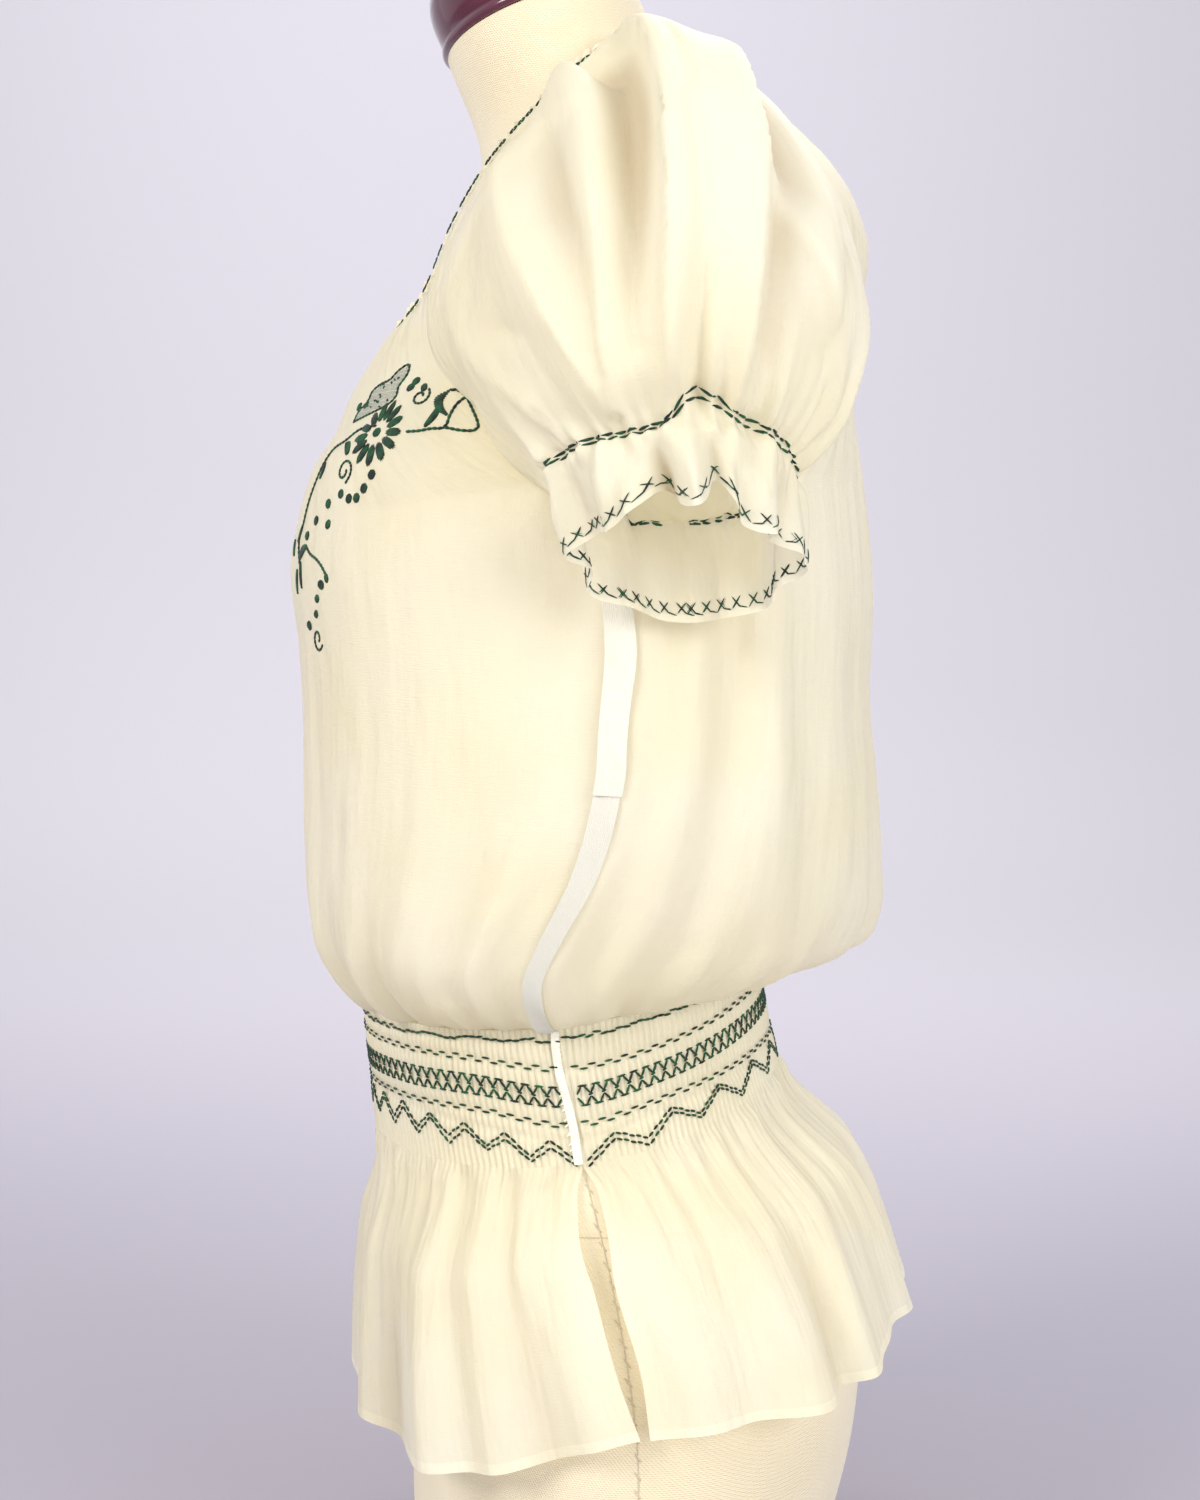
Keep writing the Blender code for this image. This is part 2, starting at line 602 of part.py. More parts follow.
def neck_cap(name, material):
    """A turned cap on the neck, square to its lean."""
    rows = len(CAP_PROFILE) - 1
    half_width, front, back, lean = FORM[-1, 1:]
    lean = math.radians(lean)
    centre = np.array([0.0, (front + back) / 2, FORM[-1, 0]])
    up = np.array([0.0, -math.sin(lean), math.cos(lean)])
    behind = np.array([0.0, math.cos(lean), math.sin(lean)])

    def point(u, v):
        share, height = CAP_PROFILE[round(v * rows)]
        angle = 2 * math.pi * u
        return (centre + up * height + behind * (back - front) / 2 * share * math.cos(angle)
                + np.array([half_width * share * math.sin(angle), 0, 0]))

    return capped(name, shaped_grid(CAP_COLUMNS, rows, point, tube=True), material)


def main():
    for old in list(bpy.data.objects):
        bpy.data.objects.remove(old)
    silk = finish("cream silk", (0.93, 0.88, 0.70), 0.45)
    tape = finish("white tape", (0.95, 0.94, 0.88), 0.6)
    canvas = finish("canvas cover", (0.86, 0.78, 0.58), 0.85)
    plum = finish("plum cap", (0.14, 0.03, 0.06), 0.25)
    dress_form("dress_form", canvas)
    neck_cap("neck_cap", plum)
    body_panel("front_bodice", False, silk)
    body_panel("back_bodice", True, silk)
    smocking("front_smocking", False, silk)
    smocking("back_smocking", True, silk)
    peplum("front_peplum", False, silk)
    peplum("back_peplum", True, silk)
    sleeve("sleeve_left", LEFT, silk)
    sleeve("sleeve_right", RIGHT, silk)
    neck_edge("neck_edge", silk)
    side_tape("side_tape", tape)


main()
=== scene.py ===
import math
import random

import bmesh
import bpy
import numpy as np
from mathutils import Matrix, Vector


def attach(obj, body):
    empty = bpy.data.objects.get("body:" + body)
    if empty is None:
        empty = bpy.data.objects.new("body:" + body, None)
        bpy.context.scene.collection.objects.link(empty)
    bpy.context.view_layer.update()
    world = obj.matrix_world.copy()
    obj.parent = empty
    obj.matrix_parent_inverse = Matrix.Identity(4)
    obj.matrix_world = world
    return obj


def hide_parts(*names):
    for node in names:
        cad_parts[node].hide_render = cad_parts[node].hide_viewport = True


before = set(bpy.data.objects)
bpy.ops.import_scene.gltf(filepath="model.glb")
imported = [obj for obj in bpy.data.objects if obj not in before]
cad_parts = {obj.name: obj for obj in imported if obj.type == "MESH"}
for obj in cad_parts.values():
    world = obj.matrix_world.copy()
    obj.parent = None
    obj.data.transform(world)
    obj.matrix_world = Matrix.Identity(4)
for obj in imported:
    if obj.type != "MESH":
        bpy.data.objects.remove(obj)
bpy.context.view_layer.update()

# The dress form is a padded trunk of a small size, without limbs, covered in cream canvas. The canvas is
# cut in long gores and joined by hand. The form stands on its flat underside.

MM = 0.001                  # tables taken times this give millimetres
FORM_COLUMNS, FORM_ROWS = 120, 150
FORM_POWER = 2.05
# height, half width, front y, back y, lean in degrees
FORM = np.array([
    (    0,   138,    -87,    96,  0), (   40,   144,  -88.8,   109,  0),
    (   85,   149,    -90, 120.4,  0), (  112, 148.5,  -91.5, 123.2,  0),
    (  150,   143,    -95,   118,  0), (  190,   131,  -98.5,   105,  0),
    (  226,   119, -103.5,    91,  0), (  252,   114,   -106,  82.5,  0),
    (  279, 111.5, -108.8,    76,  0), (  305,   110, -108.5,  71.5,  0),
    (  340, 109.5, -109.5,  69.5,  0), (  400,   117,   -117,    76,  0),
    (  435,   123, -127.5,    82,  0), (  470,   127, -134.5,    88,  0),
    (  520,   128,   -117,    95,  0), (  570,   130,    -90,    98,  0),
    (  605,   141,  -74.5,    96,  0), (  628,   145,    -67,    90,  2),
    (  645,   136,    -62,    81,  5), (  660,   112,    -59,    70,  9),
    (  672,    85,    -58,    58, 13), (690.6,    63,  -57.6,  42.4, 17),
    (736.8,    57,  -73.4,    20, 18),
]) * (MM, MM, MM, MM, 1)


def smooth(at, table):
    """The table's columns after its first, at places in its first, on soft curves through its rows."""
    places, values = table[:, 0], table[:, 1:]
    at = np.clip(at, places[0], places[-1])
    row = np.clip(np.searchsorted(places, at, side="right") - 1, 0, len(places) - 2)
    slopes = np.gradient(values, places, axis=0)
    step = (places[row + 1] - places[row])[..., None]
    return hermite(values[row], values[row + 1], step * slopes[row], step * slopes[row + 1],
                   (at - places[row])[..., None] / step)


def hermite(start, end, start_pull, end_pull, t):
    return ((2 * t**3 - 3 * t**2 + 1) * start + (t**3 - 2 * t**2 + t) * start_pull
            + (3 * t**2 - 2 * t**3) * end + (t**3 - t**2) * end_pull)


def columns_at(at, table):
    """The same, one array for each column."""
    return np.moveaxis(smooth(at, table), -1, 0)


def ease(t):
    """0 before 0, 1 after 1, and a soft step between."""
    t = np.clip(t, 0, 1)
    return t * t * (3 - 2 * t)


def mix(a, b, t):
    return a + (b - a) * t


def blend_points(a, b, t):
    """Two sets of points mixed by one share for each point."""
    return a + (b - a) * np.asarray(t)[..., None]


def points_of(x, y, z):
    return np.stack([x, y, z], axis=-1)


def unit(vectors):
    return vectors / np.linalg.norm(vectors, axis=-1)[..., None]


def squared(value, power):
    """A superellipse's sine or cosine: it keeps its sign and fills out as power grows past 2."""
    return np.copysign(np.abs(value) ** (2 / power), value)


def form_point(angle, height, out=0.0):
    """Points on the form, or that far outside it. Angle 0 is the centre back, a quarter turn the left."""
    half_width, front, back, lean = columns_at(height, FORM)
    along = ((back - front) / 2 + out) * squared(np.cos(angle), FORM_POWER)
    lean = np.radians(lean)
    return points_of((half_width + out) * squared(np.sin(angle), FORM_POWER),
                     (front + back) / 2 + along * np.cos(lean), height + along * np.sin(lean))


HEM_CLEAR = 0.02            # UV height at which a piece without a hem starts


def laid_grid(columns, rows, surface, tube=False, flip=False, cut=(1.0, 1.0), hem=False):
    """A bmesh grid laid on surface(u, v), both 0 to 1. Its UV map holds the place on the cut, in metres, and
    0 is at a hem. The surface may give the height of its folds as well, which the grid keeps."""
    shape = bmesh.new()
    bmesh.ops.create_grid(shape, x_segments=columns, y_segments=rows, size=0.5)
    cut_map = shape.loops.layers.uv.new("cut")
    for face in shape.faces:
        for loop in face.loops:
            loop[cut_map].uv = ((loop.vert.co.x + 0.5) * cut[0],
                                (loop.vert.co.y + 0.5) * cut[1] + (0 if hem else HEM_CLEAR))
    flat = np.array([vertex.co[:2] for vertex in shape.verts]) + 0.5
    places = surface(flat[:, 0], flat[:, 1])
    places, heights = places if isinstance(places, tuple) else (places, np.zeros(len(flat)))
    kept = shape.verts.layers.float.new("fold")
    for vertex, place, height in zip(shape.verts, places, heights):
        vertex.co = place
        vertex[kept] = height
    if tube:
        bmesh.ops.remove_doubles(shape, verts=shape.verts, dist=1e-5)
    if flip:
        bmesh.ops.reverse_faces(shape, faces=shape.faces)
    return shape


def linked(name, data):
    """A new object in the scene."""
    made = bpy.data.objects.new(name, data)
    bpy.context.scene.collection.objects.link(made)
    return made


def new_object(name, shape, finish):
    """Turns a bmesh into a smooth object."""
    mesh = bpy.data.meshes.new(name)
    shape.to_mesh(mesh)
    shape.free()
    mesh.materials.append(finish.material)
    mesh.shade_smooth()
    return linked(name, mesh)


def new_piece(name, shape, finish, slot, *stands_for):
    """Turns a bmesh into a piece that rides on the part."""
    piece = new_object(name, shape, finish)
    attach(piece, "root")
    if stands_for:
        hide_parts(*stands_for)
    return piece


class Socket:
    """A shader socket that arithmetic works on: each operation adds its Math node."""

    def __init__(self, finish, socket):
        self.finish, self.socket = finish, socket

    def math(self, operation, *values):
        return self.finish.node("ShaderNodeMath", {"operation": operation}, values)

    def __add__(self, other):
        return self.math("ADD", self, other)

    def __sub__(self, other):
        return self.math("SUBTRACT", self, other)

    def __rsub__(self, other):
        return self.math("SUBTRACT", other, self)

    def __mul__(self, other):
        return self.math("MULTIPLY", self, other)

    __radd__ = __add__
    __rmul__ = __mul__

    def between(self, low, high):
        """0 below low, 1 above high, and a soft step between."""
        return self.finish.node("ShaderNodeMapRange", {"interpolation_type": "SMOOTHSTEP"},
                                (self, low, high, 0.0, 1.0))


class Finish:
    """A material in the making."""

    def __init__(self, name, **constants):
        self.material = bpy.data.materials.new(name)
        self.material.use_nodes = True
        self.nodes, self.links = self.material.node_tree.nodes, self.material.node_tree.links
        self.shader = self.nodes["Principled BSDF"]
        self.set(self.shader, {name.replace("_", " "): value for name, value in constants.items()})

    def set(self, node, values):
        """Links or sets a node's sockets, by name or in their order."""
        for name, value in values.items() if isinstance(values, dict) else enumerate(values):
            if isinstance(value, Socket):
                self.links.new(value.socket, node.inputs[name])
            elif value is not None:
                node.inputs[name].default_value = value

    def node(self, kind, settings=None, values=(), output=0):
        """Any node, its settings made before its sockets."""
        node = self.nodes.new(kind)
        for name, value in (settings or {}).items():
            setattr(node, name, value)
        self.set(node, values)
        return Socket(self, node.outputs[output])

    def place(self, kind="Object"):
        return self.node("ShaderNodeTexCoord", output=kind)

    def part_of(self, vector, axis):
        return self.node("ShaderNodeSeparateXYZ", {}, {"Vector": vector}, axis)

    def stretched(self, vector, scale):
        return self.node("ShaderNodeMapping", {}, {"Vector": vector, "Scale": scale})

    def noise(self, vector, scale, detail=3.0, roughness=0.55):
        return self.node("ShaderNodeTexNoise", {}, {"Vector": vector, "Scale": scale, "Detail": detail,
                                                    "Roughness": roughness}, "Fac")

    def threads(self, vector, spacing, direction, wander=0.0):
        """Fine parallel threads that far apart, as a wave from 0 to 1."""
        return self.node("ShaderNodeTexWave", {"bands_direction": direction},
                         {"Vector": vector, "Scale": 2 * math.pi / (20 * spacing), "Distortion": wander,
                          "Detail Scale": 1.5}, "Fac")

    def blend(self, share, first, second):
        """Two colours mixed by a share."""
        return self.node("ShaderNodeMix", {"data_type": "RGBA"}, {"Factor": share, 6: first, 7: second}, 2)

    def bumps(self, height, depth, under=None):
        """A normal with bumps of that depth in metres, over another normal."""
        values = {"Height": height, "Distance": depth, "Strength": 1.0}
        if under is not None:
            values["Normal"] = under
        return self.node("ShaderNodeBump", {}, values)

    def use(self, **inputs):
        self.set(self.shader, {name.replace("_", " "): value for name, value in inputs.items()})
        return self


canvas = Finish("cream canvas", Roughness=0.85, Sheen_Weight=0.25, Sheen_Roughness=0.5)
canvas_place = canvas.place()
canvas_weave = (canvas.threads(canvas_place, 0.0009, "Z", 1.2)
                + canvas.threads(canvas_place, 0.0009, "DIAGONAL", 1.2))
canvas_cloud = canvas.noise(canvas_place, 9.0)
canvas.use(
    Base_Color=canvas.blend(canvas_cloud.between(0.3, 0.75), (0.80, 0.70, 0.48, 1), (0.88, 0.80, 0.60, 1)),
    Normal=canvas.bumps(canvas_weave, 0.00012, canvas.bumps(canvas.noise(canvas_place, 60.0), 0.0004)))

form = laid_grid(FORM_COLUMNS, FORM_ROWS, lambda u, v: form_point(2 * math.pi * u, v * FORM[-1, 0]),
                 tube=True)
bmesh.ops.holes_fill(form, edges=[edge for edge in form.edges if edge.is_boundary], sides=0)
bmesh.ops.recalc_face_normals(form, faces=form.faces)
form_piece = new_piece("form_cover", form, canvas, "canvas_cover", "dress_form")
form_piece.data.set_sharp_from_angle(angle=math.radians(50))

# The cap on the neck is turned from wood and lacquered in dark plum gloss. A thin bead of dried glue
# shows where it meets the canvas.

NECK_LEAN = math.radians(FORM[-1, 4])
NECK_CENTRE = Vector((0, (FORM[-1, 2] + FORM[-1, 3]) / 2, FORM[-1, 0]))
NECK_HALF_WIDTH, NECK_HALF_DEPTH = FORM[-1, 1], (FORM[-1, 3] - FORM[-1, 2]) / 2
# share of the neck's radius, height above the neck's end, up the outside to the centre
CAP_PROFILE = [
    (0.96, 0.0002), (1.02, 0.0004), (1.034, 0.0012), (1.037, 0.0026), (1.03, 0.0042), (1.004, 0.0052),
    (1.004, 0.006), (1.018, 0.0082), (1.03, 0.012), (1.038, 0.0165), (1.034, 0.0215), (1.01, 0.0258),
    (0.95, 0.0295), (0.84, 0.0322), (0.65, 0.0338), (0.35, 0.0345), (0, 0.0346),
]

plum = Finish("plum lacquer", Roughness=0.16, Coat_Weight=0.6, Coat_Roughness=0.08)
plum_grain = plum.noise(plum.stretched(plum.place(), (1, 1, 9)), 30.0, 5.0)
plum.use(Base_Color=plum.blend(plum_grain, (0.055, 0.006, 0.020, 1), (0.120, 0.018, 0.040, 1)),
         Roughness=plum_grain * 0.12 + 0.10,
         Normal=plum.bumps(plum_grain, 0.0001))

cap = bmesh.new()
profile = [cap.verts.new((share * NECK_HALF_DEPTH, 0, height)) for share, height in CAP_PROFILE]
ribs = [cap.edges.new(pair) for pair in zip(profile, profile[1:])]
bmesh.ops.spin(cap, geom=profile + ribs, cent=(0, 0, 0), axis=(0, 0, 1), angle=2 * math.pi, steps=96,
               use_merge=True)
bmesh.ops.remove_doubles(cap, verts=cap.verts, dist=1e-6)
for vertex in cap.verts:
    x, y, z = vertex.co
    vertex.co = NECK_CENTRE + Vector((x * NECK_HALF_WIDTH / NECK_HALF_DEPTH,
                                      y * math.cos(NECK_LEAN) - z * math.sin(NECK_LEAN),
                                      y * math.sin(NECK_LEAN) + z * math.cos(NECK_LEAN)))
bmesh.ops.holes_fill(cap, edges=[edge for edge in cap.edges if edge.is_boundary], sides=0)
bmesh.ops.recalc_face_normals(cap, faces=cap.faces)
new_piece("turned_cap", cap, plum, "gloss_cap", "neck_cap")

# The smocked waist is worked in the blouse's own cloth: narrow tubes of cloth stand side by side, held by
# rows of dark green stitching. It hugs the form and rises towards the back.

REST_WALL = 0.0018          # from the form to the outside of the smocked cloth
TUBES, TUBE_DEPTH = 104, 0.0016                     # in each half
TUBE_COLUMNS, BAND_ROWS = 6, 40
BAND_TOP, BAND_TOP_LIFT = 0.2840, 0.0240            # at the centre front, and the centre back's rise
BAND_BOTTOM, BAND_BOTTOM_LIFT = 0.2260, 0.0300
BAND_FLAT = (0.50, 0.054)
LIFT_POWER = 2.6
# round from the centre front (0) past the side (1) to the centre back (2): heights of the rows of stitches
# as shares of the band's height, the last one's upper and then its lower points
ROWS = np.array([
    (0.00, 0.93, 0.80, 0.570, 0.42, 0.34, 0.20),
    (0.50, 0.94, 0.81, 0.605, 0.43, 0.36, 0.21),
    (0.75, 0.94, 0.79, 0.590, 0.41, 0.27, 0.15),
    (1.00, 0.91, 0.69, 0.480, 0.28, 0.16, 0.01),
    (1.25, 0.93, 0.71, 0.520, 0.33, 0.24, 0.10),
    (1.60, 0.94, 0.75, 0.550, 0.31, 0.25, 0.09),
    (2.00, 0.93, 0.77, 0.570, 0.27, 0.22, 0.05),
])


def lift(angle):
    """How far the waist has risen towards the back, 0 at the centre front and 1 at the centre back."""
    return ((1 + np.cos(angle)) / 2) ** LIFT_POWER


def band_height(angle, share):
    """Heights in the band, at its lower edge for share 0 and its upper edge for share 1."""
    return mix(BAND_BOTTOM + BAND_BOTTOM_LIFT * lift(angle), BAND_TOP + BAND_TOP_LIFT * lift(angle), share)


def half_angle(across, back):
    """The angle round the form for a half's -1 to 1, from the wearer's right side seam to the left one."""
    return across * math.pi / 2 if back else math.pi - across * math.pi / 2


def tube_ridge(across, share):
    """The tubes' ridges, 0 to 1. They run on a little past both edges of the smocking, to share -1 and 2."""
    wander = 0.35 * np.sin(9 * across + 5 * share) + 0.25 * np.sin(31 * across - 7 * share)
    return np.abs(np.cos(math.pi * TUBES * (across + 1) / 2 + wander)) ** 0.7


def around(across, back):
    """The place round the waist for a half's -1 to 1: 0 centre front, 1 the side, 2 centre back."""
    return 2 - np.abs(across) if back else np.abs(across)


def tube_relief(across, share, back):
    """How far the tubes stand out of the smocking, 0 to 1, less where the rows of stitches pinch them."""
    rows = columns_at(around(across, back), ROWS)
    pinched = sum(np.exp(-((share - row) / 0.035) ** 2) for row in rows[:5])
    return tube_ridge(across, share) * (1 - 0.35 * pinched) - 0.25 * pinched


def band_point(across, share, back, out=0.0):
    """Points of the smocking, share 0 at its lower edge and 1 at its upper one."""
    angle = half_angle(across, back)
    return form_point(angle, band_height(angle, share), REST_WALL + out)


silk = Finish("cream silk", Sheen_Weight=0.30, Sheen_Roughness=0.35, Specular_IOR_Level=0.50)
silk_cut = silk.place("UV")
silk_place = silk.place()
slubs = silk.noise(silk.stretched(silk_cut, (1, 14, 1)), 160.0, 2.0, 0.6)
cross_slubs = silk.noise(silk.stretched(silk_cut, (14, 1, 1)), 160.0, 2.0, 0.6)
silk_cloud = silk.noise(silk_place, 14.0, 1.0)
creases = silk.noise(silk.stretched(silk_cut, (1, 0.22, 1)), 75.0, 2.0, 0.5)
fold_height = silk.node("ShaderNodeAttribute", {"attribute_name": "fold"}, output="Fac")
# painted shade: where the kept fold height sinks into a hollow, the silk's colour is darkened towards grey
# brown, and the cloth is made a little more opaque
painted_fold_shade = (fold_height * -1).between(0.0003, 0.0110)
hem_fold = 1 - silk.part_of(silk_cut, "Y").between(0.0042, 0.0048)
silk_shade = silk.blend(silk_cloud.between(0.3, 0.7), (0.94, 0.895, 0.67, 1), (0.965, 0.935, 0.765, 1))
silk.use(
    # painted shade in the hollows of the folds
    Base_Color=silk.blend(painted_fold_shade, silk_shade, (0.58, 0.48, 0.33, 1)),
    Roughness=slubs * 0.14 + 0.32,
    Alpha=painted_fold_shade * 0.05 + hem_fold * 0.12 + 0.83,
    Normal=silk.bumps(creases * 12 + slubs + cross_slubs, 0.00022))
silk_glow = silk.node("ShaderNodeBsdfTranslucent", {}, {"Color": (1.0, 0.95, 0.78, 1)})
silk_both = silk.node("ShaderNodeMixShader", {},
                      {0: 0.30, 1: Socket(silk, silk.shader.outputs[0]), 2: silk_glow})
silk.links.new(silk_both.socket, silk.nodes["Material Output"].inputs["Surface"])


def silk_piece(name, node, shape, flat, *rests_on, area=None):
    """A gathered piece of the blouse for its node. Flat and area, those of the cloth that shows, are not
    used.
    """
    piece = new_piece(name, shape, silk, "silk_cloth", node)


def from_u(u, back):
    """The place across a half, -1 at the wearer's right and 1 at the left, so that its grid faces out."""
    return (1 - 2 * u) if back else (2 * u - 1)


def smocked_surface(back):
    def surface(u, v):
        relief = TUBE_DEPTH * tube_relief(from_u(u, back), v, back)
        # the kept fold height sinks between the tubes, where the silk's colour paints shade
        return band_point(from_u(u, back), v, back, relief), 1.6 * (relief - TUBE_DEPTH * 0.6)
    return surface


for back, half in enumerate(("front", "back")):
    band = laid_grid(TUBES * TUBE_COLUMNS, BAND_ROWS, smocked_surface(back), cut=(0.35, 0.055))
    silk_piece("smocked_" + half, half + "_smocking", band, BAND_FLAT, "form_cover")

# The front and the back are plain lengths of silk, gathered into the smocking below and into the neckline
# above. They pouch over the smocking. Their raglan edges take the sleeves, and the left side seam stays
# open.

# along the left half of the neckline, from the centre back to the centre front: x, y, z
NECKLINE = np.array([
    (   0,    45,   715), (  29,  41.5, 715.8), (  50,    29, 716.8), (  64,    12,   714),
    (  77, -10.4, 698.1), (84.5,   -29,   677), (85.5, -45.1,   659), (76.5,   -62,   634),
    (  56,   -76, 608.5), (  30,   -88, 598.5), (   0,   -95, 595.5),
]) * MM
MIRRORED = np.array([-1, 1, 1])
# one more point past each end, so that the two halves meet in a level curve
NECK_ROWS = np.vstack([NECKLINE[1] * MIRRORED, NECKLINE, NECKLINE[-2] * MIRRORED])
NECK_STEPS = np.cumsum(np.linalg.norm(np.diff(NECK_ROWS, axis=0), axis=1))
NECK_STEPS = np.concatenate([[0.0], NECK_STEPS]) - NECK_STEPS[0]
NECK_BACK_SEAM, NECK_FRONT_SEAM, NECK_HALF = NECK_STEPS[[3, 9, 11]]
# share of the seam from the neck to the underarm, x, y, z
FRONT_RAGLAN = np.array([
    (   0,    56,   -76, 608.5), (0.25,    78, -72.5,   590), ( 0.5, 100.5, -63.2, 569.5),
    (0.72,   120,   -48,   545), (0.88,   133,   -17,   527), (   1,   140,    12,   518),
]) * (1, MM, MM, MM)
BACK_RAGLAN = np.array([
    (   0,  50, 29, 716.8), ( 0.2,  74, 61,   690), ( 0.4,  97, 85,   650),
    (0.62, 118, 88,   600), ( 0.8, 131, 69,   555), (0.92, 138, 40,   529),
    (   1, 140, 12,   518),
]) * (1, MM, MM, MM)
PANEL_CUT = (0.19, 0.40)    # metres of cloth for half a row, and from the smocking to the neckline
# the flat size of the cloth that shows in a panel, and its area with the raglan corners cut away
PANEL_FLATS = [((0.45, 0.40), 0.150), ((0.45, 0.46), 0.172)]
PANEL_COLUMNS, PANEL_ROWS = 416, 124
UNDERARM_SHARE = 0.58
RAGLAN_SWEEP = 62           # degrees of arc left in a panel's half row at the neckline
PANEL_POWER = 2.3
# share of the panel's rows, side seam's x, y, z
SIDE_SEAM = np.array([
    (   0,   116,   -15,   284), (0.04,   126,   -19, 288.5), (0.08,   137, -22.2,   298),
    (0.13, 145.5, -22.5,   312), (0.18,   150,   -15,   329), (0.25,   153,    -2,   355),
    (0.34,   153,    10,   392), (0.43,   149,  14.1,   442), ( 0.5,   145,    14,   480),
    (0.58,   140,    12,   518),
]) * (1, MM, MM, MM)
# share, y, z down the centre front
CENTRE_FRONT = np.array([
    (   0, -113.1,   279), (0.04, -120.2, 288.3), (0.08, -128.3, 299.9), (0.13, -136.3, 314.8),
    (0.18, -139.5, 331.1), (0.25, -140.5,   360), (0.34, -141.2, 403.8), (0.43,   -143,   450),
    ( 0.5, -145.3,   480), (0.58, -141.7,   502), (0.66, -134.4, 527.9), (0.75, -124.5,   544),
    (0.84, -115.7, 565.5), (0.92,   -104,   585), (   1,    -95, 595.5),
]) * (1, MM, MM)
# share, y, z down the centre back
CENTRE_BACK = np.array([
    (   0,    79, 303.5), (0.04,    93,   303), (0.08,   111,   307), (0.13,   128,   314),
    (0.18,   134,   328), (0.25,   133,   351), (0.34,   130,   390), (0.43, 126.2,   430),
    ( 0.5, 127.2, 471.3), (0.58, 122.5,   520), (0.66, 116.5,   560), (0.75,   120,   600),
    (0.84,   123,   637), ( 0.9,   110,   666), (0.95,    83,   693), (   1,    45,   715),
]) * (1, MM, MM)
# long soft folds, as paths on the cut: across and share, then height and half width in millimetres
FRONT_FOLDS = [
    [(0.93, 0.6, 0, 10), (0.86, 0.55, 3, 12), (0.76, 0.47, 0, 16)],
    [(0.96, 0.54, 0, 10), (0.9, 0.46, -3, 12), (0.82, 0.36, 0, 16)],
    [(0.97, 0.42, 0, 8), (0.88, 0.28, 3, 11), (0.84, 0.12, 4, 10), (0.84, 0.04, 1, 7)],
    [(0.9, 0.4, 0, 10), (0.8, 0.24, -3, 12), (0.77, 0.1, -3, 9)],
    [(0.66, 0.38, 0, 12), (0.66, 0.2, 3, 12), (0.67, 0.06, 3, 9)],
    [(0.42, 0.3, 0, 6), (0.4, 0.26, -2, 6), (0.39, 0.22, 0, 6)],
    [(0.2, 0.45, 0, 12), (0.22, 0.25, 3, 14), (0.24, 0.08, 2, 10)],
]
BACK_FOLDS = [
    [(0.92, 0.56, 0, 10), (0.88, 0.45, 4, 12), (0.9, 0.3, 4, 13), (0.86, 0.12, 1, 10)],
    [(0.86, 0.56, 0, 10), (0.8, 0.44, -4, 12), (0.8, 0.28, -3, 13), (0.78, 0.15, 0, 10)],
    [(0.76, 0.58, 0, 10), (0.7, 0.42, 4, 12), (0.7, 0.26, 4, 14), (0.68, 0.12, 1, 10)],
    [(0.6, 0.56, 0, 10), (0.58, 0.4, -3, 12), (0.57, 0.24, -4, 14), (0.57, 0.14, 0, 10)],
    [(0.5, 0.6, 0, 10), (0.46, 0.4, 3, 12), (0.43, 0.24, 4, 14), (0.42, 0.12, 1, 10)],
    [(0.1, 0.5, 0, 12), (0.06, 0.3, 3, 14), (0.02, 0.12, 2, 10)],
]


def neckline(step):
    """Points of the neckline, by their distance from the centre back, which is negative on the right."""
    points = smooth(np.abs(step), np.column_stack([NECK_STEPS, NECK_ROWS]))
    points[..., 0] *= np.copysign(1, step)
    return points


def fold_heights(x, y, paths, pointed=2.0):
    """How far folds lift the cloth at places of its cut. A path's rows hold a place, a height, and how wide
    the fold is on its right and on its left, looking along the path."""
    heights = np.zeros_like(x)
    for path in paths:
        marks = np.linspace(0, len(path) - 1, 14 * len(path))
        along = smooth(marks, np.column_stack([np.arange(len(path)), path]))
        way = np.gradient(along[:, :2], axis=0)
        across_x, across_y = x[:, None] - along[:, 0], y[:, None] - along[:, 1]
        gaps = np.hypot(across_x, across_y)
        nearest = gaps.argmin(axis=1)
        each = np.arange(len(x))
        left = way[nearest, 0] * across_y[each, nearest] - way[nearest, 1] * across_x[each, nearest] > 0
        width = np.where(left, along[nearest, -1], along[nearest, 3])
        heights += along[nearest, 2] * np.exp(-(gaps.min(axis=1) / width) ** pointed)
    return heights


def mirrored_folds(paths, width, length, seed):
    """The paths in metres, and like ones on the other half, uneven as cloth is."""
    draw = random.Random(seed)
    both = [[(across * width, share * length, height * MM, half * MM)
             for across, share, height, half in path] for path in paths]
    for path in list(both):
        shift, strength = draw.uniform(-0.06, 0.06), draw.uniform(0.7, 1.2)
        both.append([(shift * width - x, y, strength * height, half) for x, y, height, half in path])
    return both


def gathers(across, along, count, reach, depth, seed, sunk=0.45):
    """Folds that start at a gathered edge, where along is 0, and fade unevenly. Across runs -1 to 1. The
    cloth between them is sunk by a share of their depth."""
    draw = random.Random(seed)
    heights = np.zeros_like(across)
    for place in range(count):
        centre = 2 * (place + draw.uniform(0.2, 0.8)) / count - 1
        length, strength = reach * draw.uniform(0.35, 1.3), depth * draw.uniform(0.5, 1.2)
        half, slant = draw.uniform(0.28, 0.48) * 2 / count, draw.uniform(-0.5, 0.5) * 2 / count
        away = np.clip(along / length, 0, 1)
        heights += strength * (1 - ease(away)) * np.exp(-((across - centre - slant * away)
                                                         / (half * (1 + 0.9 * away))) ** 2)
    return heights - depth * sunk * (1 - ease(along / reach))


def panel_edge(share, back):
    """Points on a panel's left edge: the side seam up to the underarm, and the raglan seam above it."""
    below = smooth(share, SIDE_SEAM)
    above = smooth((1 - share) / (1 - UNDERARM_SHARE), BACK_RAGLAN if back else FRONT_RAGLAN)
    return np.where((share <= UNDERARM_SHARE)[..., None], below, above)


